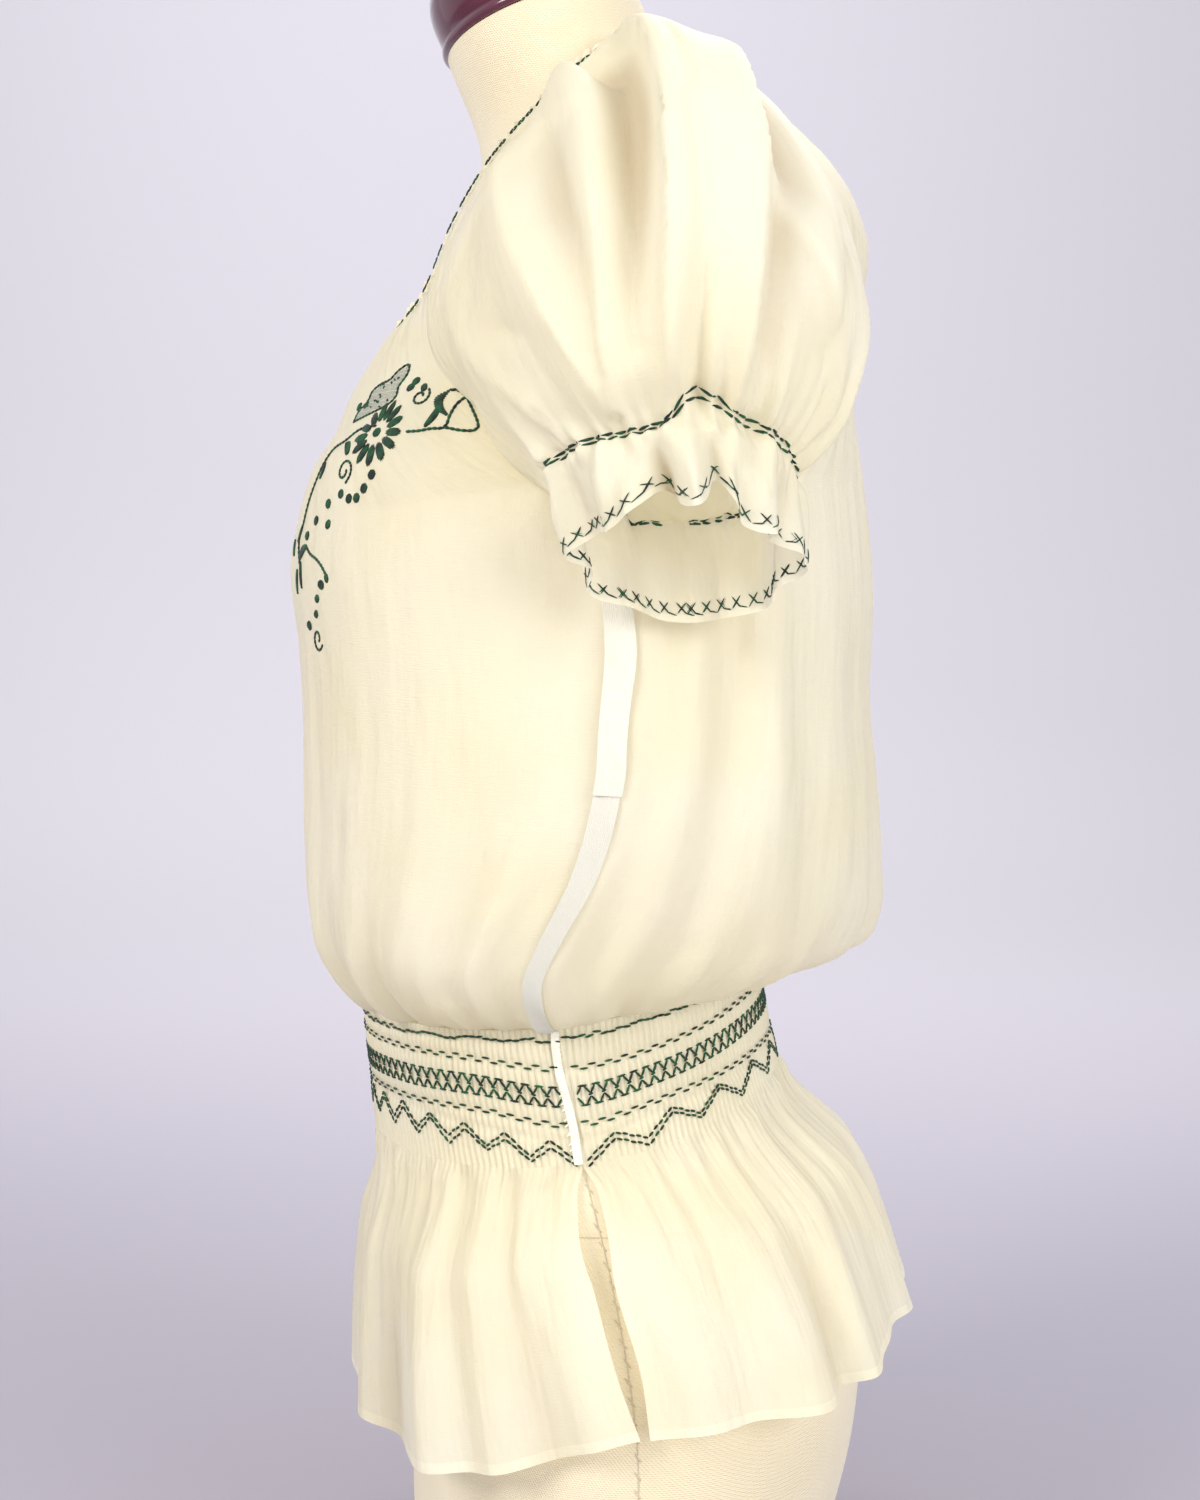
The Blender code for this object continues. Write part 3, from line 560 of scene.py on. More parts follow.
def panel_point(across, share, back, relief=0.0):
    """Points of the front or back. Across is -1 at the wearer's right edge and 1 at the left."""
    edge = panel_edge(share, back)
    middle_y, middle_z = columns_at(share, CENTRE_BACK if back else CENTRE_FRONT)
    above = ease((share - UNDERARM_SHARE) / (1 - UNDERARM_SHARE))
    sweep = np.radians(mix(90, RAGLAN_SWEEP, above))
    power = mix(PANEL_POWER, 2.0, above)
    turn = across * sweep
    side = squared(np.sin(turn), power) / squared(np.sin(sweep), power)
    fall = (1 - squared(np.cos(turn), power)) / (1 - squared(np.cos(sweep), power))
    outward = 1 if back else -1
    plain = points_of(edge[..., 0] * side + relief * np.sin(turn),
                      mix(middle_y, edge[..., 1], fall) + outward * relief * np.cos(turn),
                      mix(middle_z, edge[..., 2], np.abs(across) ** 1.7))
    on_band = band_point(across, 1, back, TUBE_DEPTH * 0.5 + relief)
    if back:
        on_neck = neckline(NECK_BACK_SEAM * across)
    else:
        on_neck = neckline(np.copysign(mix(NECK_HALF, NECK_FRONT_SEAM, np.abs(across)), across))
    plain = blend_points(plain, on_band, 1 - ease(share / 0.06))
    return blend_points(plain, on_neck, ease((share - 0.90) / 0.10))


PANEL_FOLDS = [mirrored_folds(FRONT_FOLDS, *PANEL_CUT, 20), mirrored_folds(BACK_FOLDS, *PANEL_CUT, 21)]


def panel_relief(across, share, back):
    """How far folds and gathers lift the cloth of a panel."""
    width, length = PANEL_CUT
    tight = 1 - ease((np.abs(across) - 0.93) / 0.07)
    at_waist = (gathers(across, share, TUBES // 2, 0.09, 0.0014, 3 + back)
                + gathers(across, np.abs(share - 0.02), 30, 0.26, 0.0042, 5 + back, 0.95)
                + gathers(across, np.abs(share - 0.06), 13, 0.50, 0.0064, 7 + back, 0.95)
                - 0.0030 * ease(share / 0.06) * (1 - ease((share - 0.35) / 0.25)))
    at_neck = gathers(across, 1 - share, 28 if back else 24, 0.20, 0.0022, 9 + back)
    tubes = TUBE_DEPTH * (tube_ridge(across, 1 + 7 * share) - 0.5) * (1 - ease(share / 0.045))
    long_folds = fold_heights(across * width, share * length, PANEL_FOLDS[back])
    return tubes + ease(share / 0.012) * tight * (at_waist + at_neck + long_folds)


def panel_surface(back):
    def surface(u, v):
        across = from_u(u, back)
        relief = panel_relief(across, v, back)
        # the fold height kept for the silk's painted shade is raised near the waist, which lightens that
        # painted shade there
        painted_shade_lift = 0.0075 * ease(v / 0.06) * (1 - ease((v - 0.25) / 0.35))
        return panel_point(across, v, back, relief), relief + painted_shade_lift
    return surface


for back, half in enumerate(("front", "back")):
    panel = laid_grid(PANEL_COLUMNS, PANEL_ROWS, panel_surface(back), cut=(2 * PANEL_CUT[0], PANEL_CUT[1]))
    flat, area = PANEL_FLATS[back]
    silk_piece("blouse_" + half, half + "_bodice", panel, flat, "form_cover", "smocked_" + half, area=area)

# The peplum flares out from under the smocking in soft flutes, to a narrow hem. Front and back are
# sewn together on the wearer's right, and slit on the left.

PEPLUM_COLUMNS, PEPLUM_ROWS = 416, 40
PEPLUM_FLUTES, FLUTE_DEPTH = 8, 0.0034
PEPLUM_CUT, PEPLUM_FLAT = (0.30, 0.125), (0.46, 0.125)
# round from the centre front (0) past the side (1) to the centre back (2): the hem's height
HEM = np.array([
    (0, 0.106), (0.5, 0.105), (0.8, 0.112), (1, 0.127), (1.25, 0.133), (1.5, 0.137), (1.7, 0.148),
    (2, 0.147),
])
# the largest folds at the hem: front or back, place across, half width, depth in metres
PEPLUM_FOLDS = [(False, 0.62, 0.10, 0.0070), (False, 0.36, 0.11, -0.0060), (False, 0.82, 0.07, -0.0030),
                (False, 0.93, 0.04, 0.0030), (True, 0.40, 0.07, 0.0030), (True, 0.29, 0.06, -0.0060),
                (True, 0.66, 0.08, 0.0050), (True, 0.54, 0.05, -0.0040), (True, 0.86, 0.06, 0.0030)]
# share of the drop, half width, front y, back y, slit's y at the side, half of the slit's gap
PEPLUM = np.array([
    (   0, 122.5, -108.5,  85,  -11, 2.8), (0.25,   137,   -111, 109,   -4, 4.4),
    ( 0.5,   147,   -114, 126,  3.5, 4.6), (0.75,   155,   -116, 136, 11.5,   5),
    (   1,   161,   -117, 145, 18.5,   2),
]) * (1, MM, MM, MM, MM, MM)


def uneven(across, count, seed):
    """Uneven flutes, -1 to 1, between the two edges of a panel at across -1 and 1."""
    wander = 0.35 * np.sin(2.3 * across * math.pi + seed) + 0.2 * np.sin(5.1 * across * math.pi + 2 * seed)
    return np.sin(count * math.pi * (across + 0.12 * wander) + seed)


def peplum_point(across, drop, back):
    """Points of the peplum, across as on the panels, drop 0 at the smocking and 1 at the hem."""
    parting = np.where(across > 0, 0.020, 0) * ease(drop / 0.10) * (1 - ease((drop - 0.10) / 0.35))
    angle = half_angle(across * (1 - parting), back)
    half_width, front, behind, slit_y, slit_gap = columns_at(drop, PEPLUM)
    slit_gap = np.where(across > 0, slit_gap, 0.0)
    height = mix(band_height(angle, 0), smooth(around(across, back), HEM)[..., 0], drop)
    calm = 1 - 0.8 * ease((np.abs(across) - 0.92) / 0.08)
    tight = 1 - ease((np.abs(across) - 0.965) / 0.035)
    fine = (gathers(across, drop, TUBES // 2, 0.45, 0.0016, 13 + back)
            + gathers(across, np.abs(drop - 0.1), 30, 1.00, 0.0030, 15 + back))
    flutes = FLUTE_DEPTH * ease(drop / 0.8) * calm * uneven(across, PEPLUM_FLUTES, 0.8 + 1.7 * back)
    for at_back, place, half, depth in PEPLUM_FOLDS:
        if at_back == back:
            flutes = flutes + depth * ease(drop / 0.9) * np.exp(-((np.abs(across) - place) / half) ** 2)
    waves = flutes + fine * tight * ease(drop / 0.03)
    reach = (behind - slit_y if back else slit_y - front) - slit_gap
    start = slit_y + slit_gap * (1 if back else -1)
    flared = points_of((half_width + waves) * squared(np.sin(angle), PANEL_POWER),
                       start + (reach + waves) * squared(np.cos(angle), PANEL_POWER), height)
    tubes = TUBE_DEPTH * (tube_ridge(across, -2.2 * drop) - 0.5) * (1 - ease(drop / 0.16))
    top = form_point(angle, height, REST_WALL + TUBE_DEPTH * 0.5 + tubes + ease(drop / 0.05) * fine * tight)
    top[..., 2] = height
    return blend_points(top, flared, ease(drop / 0.4)), 0.7 * (flutes + fine * tight)


for back, half in enumerate(("front", "back")):
    peplum = laid_grid(PEPLUM_COLUMNS, PEPLUM_ROWS, lambda u, v: peplum_point(from_u(u, back), 1 - v, back),
                       cut=(2 * PEPLUM_CUT[0], PEPLUM_CUT[1]), hem=True)
    silk_piece("peplum_" + half, half + "_peplum", peplum, PEPLUM_FLAT, "form_cover", "smocked_" + half)

# Each raglan sleeve is one wide length of silk. It is gathered along the neckline and again above the
# elbow, and its end below that line is left as a loose ruffle.

SLEEVE_COLUMNS, SLEEVE_ROWS = 320, 180
SLEEVE_CUT = (0.42, 0.30)
SLEEVE_FLAT, SLEEVE_AREA = (0.42, 0.28), 0.095        # of the cut, and with its raglan corners cut away
UNDERARM_ROW = 0.52         # share of the sleeve's rows at which its raglan seams meet
CUFF = 0.78                 # share at the gathered cuff line
CROTCH = np.array([0.0020, 0.0, 0.0])
# share, then x y z of the foremost, outermost and rearmost lines and of the seam under the arm
SLEEVE = np.array([
    (   0,  87,   -48, 656,  76,   -6, 701,  60,   17, 715,   140,   12,   518),
    (0.14, 106,   -59, 627, 117,    4, 693,  94,   50, 696,   140,   12,   518),
    (0.28, 125,   -64, 606, 161,   10, 684, 129,   70, 669,   140,   12,   518),
    (0.42, 135,   -61, 582, 200,   15, 655, 162,   89, 631,   140,   12,   518),
    (0.52, 143,   -54, 563, 222,   18, 622, 178,   99, 594,   140,   12,   518),
    (0.64, 157,   -41, 540, 234,   22, 582, 182,   98, 561,   148,   19, 508.5),
    (0.73, 174,   -26, 523, 232,   26, 552, 180,   87, 532,   151, 26.5,   502),
    (0.78, 181, -18.5, 517, 223,   29, 536, 180,   76, 517,   153,   29, 498.5),
    (0.84, 183,   -16, 507, 225, 30.5, 526, 180, 76.5, 508, 154.5,   31,   490),
    (   1, 185,    -9, 483, 227,   34, 498, 184,   76, 480,   158,   35,   459),
]) * (1, *(12 * [MM]))
# the long folds from the neck to the cuff: share and turn, height in millimetres, and its widths towards
# the front and towards the back
SLEEVE_FOLDS = [
    [(0.02, 0.562, 3, 7, 2), (0.1, 0.556, 5, 13, 3), (0.24, 0.546, 11, 14, 4), (0.4, 0.538, 7, 13, 5),
     (0.6, 0.55, 6, 11, 5), (0.76, 0.572, 4, 7, 4)],
    [(0.08, 0.524, -5, 8, 7), (0.22, 0.518, -14, 10, 8), (0.4, 0.514, -14, 11, 9),
     (0.56, 0.518, -9, 10, 8), (0.7, 0.532, -4, 8, 7)],
    [(0.03, 0.49, 3, 2, 10), (0.2, 0.486, 10, 2.6, 15), (0.4, 0.483, 12, 2.6, 18),
     (0.58, 0.489, 10, 2.6, 14), (0.7, 0.501, 6, 3, 8), (0.78, 0.512, 2, 3, 5)],
    [(0.24, 0.466, 0, 4, 2), (0.42, 0.46, -3, 5, 2), (0.62, 0.464, -5, 5, 3), (0.77, 0.474, -2, 4, 3)],
    [(0.06, 0.42, -2, 14, 14), (0.16, 0.41, -8, 18, 18), (0.27, 0.405, -5, 16, 16), (0.38, 0.4, 0, 12, 12)],
    [(0.16, 0.395, 0, 10, 3), (0.33, 0.394, 6, 16, 3), (0.5, 0.413, 10, 16, 3), (0.64, 0.424, 8, 12, 3),
     (0.77, 0.432, 3, 7, 3)],
    [(0.16, 0.35, -4, 12, 14), (0.36, 0.368, -9, 8, 16), (0.54, 0.388, -9, 8, 14), (0.7, 0.404, -4, 6, 10)],
    [(0.46, 0.42, 0, 4, 6), (0.54, 0.392, 4, 4, 10), (0.62, 0.346, 5, 4, 12), (0.68, 0.3, 4, 5, 10),
     (0.75, 0.262, 2, 4, 6)],
    [(0.2, 0.655, 1, 10, 6), (0.38, 0.64, 6, 14, 6), (0.56, 0.61, 7, 13, 5), (0.68, 0.59, 6, 9, 4),
     (0.77, 0.58, 2, 6, 4)],
    [(0.26, 0.594, -2, 9, 9), (0.44, 0.582, -8, 10, 9), (0.58, 0.566, -8, 9, 8), (0.72, 0.572, -3, 6, 6)],
    [(0.55, 0.69, 0, 5, 5), (0.6, 0.66, -3, 5, 5), (0.64, 0.63, 0, 5, 5)],
    [(0.3, 0.76, 0, 12, 12), (0.5, 0.73, 5, 16, 8), (0.7, 0.68, 4, 10, 5)],
    [(0.3, 0.22, 0, 12, 12), (0.5, 0.23, 5, 8, 16), (0.7, 0.25, 4, 6, 10)],
    [(0.36, 0.27, 0, 8, 8), (0.52, 0.29, -5, 8, 10), (0.68, 0.32, -3, 6, 8)],
]
# the ruffle's hem is tucked up in places: turn, width in turns, rise in metres
HEM_LIFTS = [
    (0.545, 0.03, 0.009), (0.462, 0.022, 0.014), (0.625, 0.026, -0.003), (0.395, 0.03, -0.003),
]
# the same places pushed in or out at the hem: turn, width, depth in metres
HEM_PUSHES = [
    (0.53, 0.016, -0.013), (0.496, 0.012, 0.006), (0.466, 0.012, -0.004), (0.44, 0.012, 0.006),
    (0.58, 0.018, 0.008), (0.64, 0.016, -0.005), (0.345, 0.022, -0.007), (0.29, 0.02, 0.006),
]
# turn and share of the cuff's gathering line
CUFF_LINE = np.array([
    (0, 0.78), (0.26, 0.78), (0.36, 0.782), (0.42, 0.78), (0.46, 0.765), (0.49, 0.764), (0.52, 0.8),
    (0.55, 0.812), (0.6, 0.806), (0.64, 0.8), (0.76, 0.772), (1, 0.78),
])
RUFFLE_WAVES, RUFFLE_DEPTH = 8, 0.0045
SLEEVE_PATHS = [[(turn * SLEEVE_CUT[0], share * SLEEVE_CUT[1], *(size * MM for size in sizes))
                 for share, turn, *sizes in path] for path in SLEEVE_FOLDS]
ROUND_PULL = 0.8284         # end pull of a curve that turns a quarter circle, as a share of its two reaches
SEAM_PULL = 1.25            # the same where a row starts at a raglan seam
SPRING = np.array([0.045, 0.0, -0.004])             # how the cloth springs out from the seam at the underarm


def sleeve_ring(turn, share):
    """Points of the plain sleeve, before its folds. Turn is 0 at the back seam and 1 at the front seam."""
    foremost, outermost, rearmost, under = np.split(smooth(share, SLEEVE), 4, axis=-1)
    closed = ease((share - UNDERARM_ROW) / 0.07)
    tube = (share >= UNDERARM_ROW)[..., None]
    front = np.where(tube, under + CROTCH, smooth(share / UNDERARM_ROW, FRONT_RAGLAN))
    back = np.where(tube, under + CROTCH, smooth(share / UNDERARM_ROW, BACK_RAGLAN))
    spring = SPRING * np.minimum(share / UNDERARM_ROW, 1.0)[..., None]
    under_arm = ROUND_PULL * (rearmost - foremost) * (0, 1, 1)
    pulls = np.stack([
        blend_points(SEAM_PULL * (rearmost - back) + spring, under_arm, closed),
        ROUND_PULL * (outermost - back),
        ROUND_PULL * (foremost - rearmost),
        ROUND_PULL * (front - outermost),
        blend_points(SEAM_PULL * (front - foremost) - spring, under_arm, closed),
    ])
    stops = np.stack([back, rearmost, outermost, foremost, front])
    quarter = np.minimum((turn * 4).astype(int), 3)
    each = np.arange(len(turn))
    spot = hermite(stops[quarter, each], stops[quarter + 1, each], pulls[quarter, each],
                   pulls[quarter + 1, each], (turn * 4 - quarter)[..., None])
    on_neck = neckline(mix(NECK_BACK_SEAM, NECK_FRONT_SEAM, turn))
    return blend_points(on_neck, spot, ease(share / 0.13))


def sleeve_out(turn, share):
    """The direction out of the plain sleeve at each point."""
    step = 0.01
    lower = np.minimum(share + step, 1.0)
    along = sleeve_ring(turn, lower) - sleeve_ring(turn, lower - 2 * step)
    ahead, behind = (np.where(share >= UNDERARM_ROW, (turn + by) % 1.0, np.clip(turn + by, 0.0, 1.0))
                     for by in (step, -step))
    return unit(np.cross(sleeve_ring(ahead, share) - sleeve_ring(behind, share), along))


def uneven_round(turn, count, seed):
    """Uneven waves that join up after one turn."""
    wander = 0.5 * np.sin(2 * math.pi * turn + seed) + 0.3 * np.sin(4 * math.pi * turn + 2 * seed)
    return np.sin(2 * math.pi * count * turn + wander + seed)


def sleeve_relief(turn, share):
    """How far folds, gathers and the ruffle's waves lift the cloth of a sleeve."""
    across = 2 * turn - 1
    open_edge = 1 - ease((np.abs(across) - 0.90) / 0.10) * np.where(share < UNDERARM_ROW + 0.05, 1, 0.6)
    at_neck = gathers(across, share, 34, 0.24, 0.0026, 31) * ease(share / 0.06)
    from_cuff = np.abs(columns_at(turn, CUFF_LINE)[0] - share)
    above_cuff = (gathers(across, from_cuff, 40, 0.17, 0.0046, 33)
                  + gathers(across, from_cuff, 17, 0.22, 0.0036, 35)
                  - 0.0022 * np.exp(-(from_cuff / 0.012) ** 2))
    in_ruffle = RUFFLE_DEPTH * ease((share - CUFF) / 0.14) * uneven_round(turn, RUFFLE_WAVES, 2.0)
    below = ease((share - CUFF - 0.02) / (0.96 - CUFF))
    for middle, pushed, depth in HEM_PUSHES:
        in_ruffle = in_ruffle + depth * below * np.exp(-((turn - middle) / pushed) ** 2)
    long_folds = fold_heights(turn * SLEEVE_CUT[0], share * SLEEVE_CUT[1], SLEEVE_PATHS, 1.7)
    return ease(share / 0.015) * open_edge * (at_neck + above_cuff + in_ruffle
                                              + ease(share / 0.14) * long_folds)


def sleeve_point(side, turn, share, out=0.0):
    """Points of the sleeve on side 1 or -1, or that far outside it, and the height of its folds."""
    relief = sleeve_relief(turn, share)
    points = sleeve_ring(turn, share) + sleeve_out(turn, share) * (relief + out)[..., None]
    below = ease((share - CUFF) / (1 - CUFF))
    for middle, width, rise in HEM_LIFTS:
        points[..., 2] += rise * below * np.exp(-((turn - middle) / width) ** 2)
    return points * (side, 1, 1), relief


for side, name in ((1, "left"), (-1, "right")):
    sleeve = laid_grid(SLEEVE_COLUMNS, SLEEVE_ROWS, lambda u, v: sleeve_point(side, 1 - u, 1 - v),
                       tube=True, flip=side < 0, cut=SLEEVE_CUT, hem=True)
    silk_piece("puff_sleeve_" + name, "sleeve_" + name, sleeve, SLEEVE_FLAT, "form_cover", area=SLEEVE_AREA)

# The neck edge is a narrow frill of the gathered cloth that stands above the neckline's stitching.

EDGE_COLUMNS, EDGE_ROWS = 720, 5
EDGE_HEIGHT, EDGE_LEAN = 0.0062, 0.30


def edge_point(across, rise):
    """Points of the frill, across -1 to 1 round the whole neckline from the centre back, rise 0 to 1."""
    spot = neckline(across * NECK_HALF)
    inward = points_of(-spot[..., 0], FORM[-2, 2:4].mean() - spot[..., 1], 0 * across)
    way = unit(EDGE_LEAN * inward + (0, 0, 0.045))
    inward = unit(inward)
    draw = random.Random(41)
    ripple = sum(np.sin(math.pi * count * across + draw.uniform(0, 6)) for count in (62, 87, 110)) * 0.0007
    uneven_height = 1 + 0.10 * np.sin(math.pi * 23 * across) + 0.06 * np.sin(math.pi * 37 * across)
    return (spot + way * (EDGE_HEIGHT * rise * uneven_height)[..., None]
            - inward * (ripple * (0.5 + rise) + 0.0010)[..., None]), ripple * 3


frill = laid_grid(EDGE_COLUMNS, EDGE_ROWS, lambda u, v: edge_point(2 * u - 1, v), tube=True,
                  cut=(0.7, 0.008))
silk_piece("neck_frill", "neck_edge", frill, (0.75, 0.010), "blouse_front", "blouse_back", area=0.0045)

# The side opening on the wearer's left has a white woven tape along the front's edge.

TAPE_ROWS = 60
# each length of tape: from and to across the front's half width, low and high along it, how far out, flat
# size, and the node that it stands for
TAPES = {"upper": (0.964, 0.999, 0.333, 0.500, 0.0022, (0.012, 0.092), ["side_tape"]),
         "lower": (0.966, 0.999, 0.020, 0.345, 0.0012, (0.012, 0.120), [])}

tape = Finish("white tape", Roughness=0.6, Sheen_Weight=0.3)
tape_cut = tape.place("UV")
tape_weave = tape.threads(tape_cut, 0.0007, "X") + tape.threads(tape_cut, 0.0007, "Y")
tape.use(Base_Color=tape.blend(tape_weave * 0.5, (0.97, 0.93, 0.76, 1), (1.0, 0.98, 0.84, 1)),
         Normal=tape.bumps(tape_weave, 0.00015))


for part, (inner, outer, low, high, off, flat, nodes) in TAPES.items():
    def tape_surface(u, v):
        share = mix(low, high, v)
        across = mix(inner, outer, u) + 0.002 * np.sin(3 * v * math.pi + off * 900) * ease(v / 0.2)
        spot = panel_point(across, share, False)
        sideways = panel_point(0 * u + outer, share, False) - panel_point(0 * u + inner, share, False)
        upward = panel_point(across, share + 0.01, False) - panel_point(across, share - 0.01, False)
        ripple = 0.0004 * np.sin(6 * v * math.pi + 3 * u + off * 500)
        return spot + unit(np.cross(sideways, upward)) * (off + ripple)[..., None]

    strip = laid_grid(8, TAPE_ROWS, tape_surface, cut=(0.010, high - low))
    piece = new_piece("side_opening_tape_" + part, strip, tape, "opening_tape", *nodes)

# All the embroidery is worked in dark green silk floss: the chain stitch round the neck, the sprays on the
# front, the rows that hold the smocking, and the stitches on the sleeves.

SPINDLE_SIDES, SPINDLE_RINGS = 6, 4     # faces round one stitch, and along it
FLOSS = 0.0008

floss = Finish("green floss", Roughness=0.5, Specular_IOR_Level=0.30, Sheen_Weight=0.15)
floss_cloud = floss.noise(floss.place(), 220.0, 2.0)
floss_twist = floss.threads(floss.place(), 0.00045, "DIAGONAL", 2.0)
floss_shade = floss_cloud.between(0.35, 0.72)
floss.use(Base_Color=floss.blend(floss_shade, (0.002, 0.012, 0.007, 1), (0.003, 0.095, 0.026, 1)),
          Normal=floss.bumps(floss_twist, 0.00008))


class Needlework:
    """Stitches on one surface. The surface gives points and outward directions for places on its cut."""

    def __init__(self, surface):
        self.surface, self.stitches = surface, []

    def stitch(self, start, end, width=FLOSS, height=None):
        """One stitch between two places of the cut."""
        self.stitches.append((*start, *end, width, width * 0.8 if height is None else height))

    def spread(self, path, length):
        """Places at even real distances along a curve through the places of a path."""
        path = np.array(path, float)
        marks = np.linspace(0, len(path) - 1, 30 * len(path))
        fine = smooth(marks, np.column_stack([np.arange(len(path)), path]))
        points, _ = self.surface(fine[:, 0], fine[:, 1])
        run = np.concatenate([[0], np.cumsum(np.linalg.norm(np.diff(points, axis=0), axis=1))])
        stops = np.linspace(0, run[-1], max(2, round(run[-1] / length) + 1))
        return np.column_stack([np.interp(stops, run, fine[:, 0]), np.interp(stops, run, fine[:, 1])])

    def stem(self, path, length=0.0028, width=0.0014):
        """Stem stitch: each stitch starts a little before the last one ends."""
        stops = self.spread(path, length)
        for here, there in zip(stops, stops[1:]):
            self.stitch(here - 0.25 * (there - here), there, width)

    def piece(self, name, finish, slot):
        """All the stitches as one piece: slim spindles that follow the surface."""
        spindle = bmesh.new()
        bmesh.ops.create_uvsphere(spindle, u_segments=SPINDLE_SIDES, v_segments=SPINDLE_RINGS, radius=1.0)
        form = np.array([vertex.co[:] for vertex in spindle.verts])
        one = bpy.data.meshes.new("stitch")
        spindle.to_mesh(one)
        spindle.free()
        shape = bmesh.new()
        for _ in self.stitches:
            shape.from_mesh(one)
        bpy.data.meshes.remove(one)
        rows = np.array(self.stitches)
        starts, ends, widths, heights = rows[:, :2], rows[:, 2:4], rows[:, 4], rows[:, 5]
        (start, start_out), (middle, out), (end, end_out) = (
            self.surface(places[:, 0], places[:, 1]) for places in (starts, (starts + ends) / 2, ends))
        out = unit(start_out + out + end_out)
        side = unit(np.cross(end - start, out))
        along = (form[:, 2] + 1) / 2                # from the spindle's start to its end
        pull = 2 * middle - (start + end) / 2       # of the curve through all three
        shares = (1 - along) ** 2, 2 * (1 - along) * along, along ** 2, form[:, 0] / 2, form[:, 1] / 2
        ways = start, pull, end, side * widths[:, None], out * heights[:, None]
        places = sum(way[:, None] * share[:, None] for share, way in zip(shares, ways))
        for vertex, place in zip(shape.verts, places.reshape(-1, 3)):
            vertex.co = place
        bmesh.ops.recalc_face_normals(shape, faces=shape.faces)
        return new_piece(name, shape, finish, slot)


def with_out(surface, step=0.003, sign=1):
    """A surface that also gives its outward directions."""
    def both(first, second):
        one_way = surface(first + step, second) - surface(first - step, second)
        other_way = surface(first, second + step) - surface(first, second - step)
        return surface(first, second), unit(sign * np.cross(one_way, other_way))
    return both


# Five rows of floss hold the smocking: stem stitch at the top, cable stitch, a trellis of diamonds, cable
# stitch again, and a double zigzag at the bottom. They dip towards the side opening.

CABLE_STEP = 0.0240         # of the half's width, one stitch of the cable
DIAMONDS = 52               # of the trellis, in each half
DIAMOND_RISE = 0.060        # of the band's height
ZIGZAG_TURNS, ZIGZAG_STITCHES = (16, 11), (4, 5)    # on the front and back half: turns, stitches each way
ROW_OUT = TUBE_DEPTH * 0.9 + 0.0002


def band_surface(back):
    return with_out(lambda across, share: band_point(across, share, back, ROW_OUT), sign=-1 if back else 1)


for back, half in enumerate(("front", "back")):
    work = Needlework(band_surface(back))
    draw = random.Random(50 + back)

    def at(across, row, rise):
        """A place on the band, that much above a row of stitches."""
        return np.array([across, smooth(around(np.array(across), back), ROWS)[row] + rise])

    for here in np.arange(-0.985, 0.985, 0.022):    # stem stitch
        rise = draw.uniform(-0.012, 0.012)
        work.stitch(at(here, 0, rise), at(here + 0.027, 0, rise + draw.uniform(-0.014, 0.014)), 0.0013)
    for row in (1, 3):                              # cable stitch
        for place, here in enumerate(np.arange(-0.985, 0.985 - CABLE_STEP, CABLE_STEP)):
            level = (0.013 if place % 2 else -0.013) + draw.uniform(-0.004, 0.004)
            work.stitch(at(here + 0.001, row, level), at(here + CABLE_STEP + 0.002, row, level), 0.0012)
    for diamond in range(DIAMONDS):                 # trellis
        left = -0.98 + 1.96 * diamond / DIAMONDS
        width = 1.96 / DIAMONDS
        for turn, top in ((1, 0.010), (-1, -0.006)):
            rise = turn * DIAMOND_RISE
            for start, end, start_rise, end_rise in ((0.00, 0.40, top, rise + top),
                                                     (0.14, 0.86, rise + 1.3 * top, rise + 1.3 * top),
                                                     (0.60, 1.00, rise + top, top)):
                work.stitch(at(left + start * width, 2, start_rise), at(left + end * width, 2, end_rise),
                            0.0012)
        work.stitch(at(left - 0.20 * width, 2, 0.010), at(left + 0.20 * width, 2, 0.002), 0.0012)
    turns, count = ZIGZAG_TURNS[back], ZIGZAG_STITCHES[back]
    for line in range(2):                           # zigzag
        tips = [at(-0.99 + 0.99 * tip / turns, 5 - tip % 2, draw.uniform(-0.012, 0.012) - 0.040 * line)
                for tip in range(2 * turns + 1)]
        for here, there in zip(tips, tips[1:]):
            for part in range(count):
                start, end = (here + (there - here) * (part + by) / count + (0, 0.006 * (part % 2))
                              for by in (-0.05, 0.85))
                work.stitch(start, end, 0.0013)
    work.piece("smocking_stitches_" + half, floss, "silk_cloth")

# The smocking's front edge along the side opening is bound in white, and whipped with white thread.

binding = laid_grid(4, 50, lambda u, v: band_point(mix(0.979, 1.001, u) + 0.005 * np.sin(6 * v), v, False,
                                                   TUBE_DEPTH + 0.0006 + 0.0005 * np.sin(23 * v + 3 * u)),
                    cut=(0.005, 0.055))
binding_piece = new_piece("opening_binding", binding, tape, "opening_tape")

whipping = Needlework(band_surface(False))
draw = random.Random(57)
for rise in np.linspace(0.03, 0.93, 17):
    lean = draw.uniform(-0.012, 0.012)
    whipping.stitch((0.972, rise + lean), (0.999, rise + 0.045 + lean), 0.0011)
    whipping.stitch((0.984, rise + 0.020), (0.999, rise + lean), 0.0009)
whipping.piece("opening_whipping", tape, "opening_tape")

# The form's cover is joined by hand: a seam down each side with slanted stitches over it, and one seam
# round the hips.

linen = Finish("linen thread", Roughness=0.7, Sheen_Weight=0.2)
linen_cloud = linen.noise(linen.place(), 300.0, 2.0)
linen.use(Base_Color=linen.blend(linen_cloud, (0.50, 0.41, 0.27, 1), (0.74, 0.66, 0.48, 1)),
          Normal=linen.bumps(linen.threads(linen.place(), 0.0004, "DIAGONAL", 1.0), 0.00005))

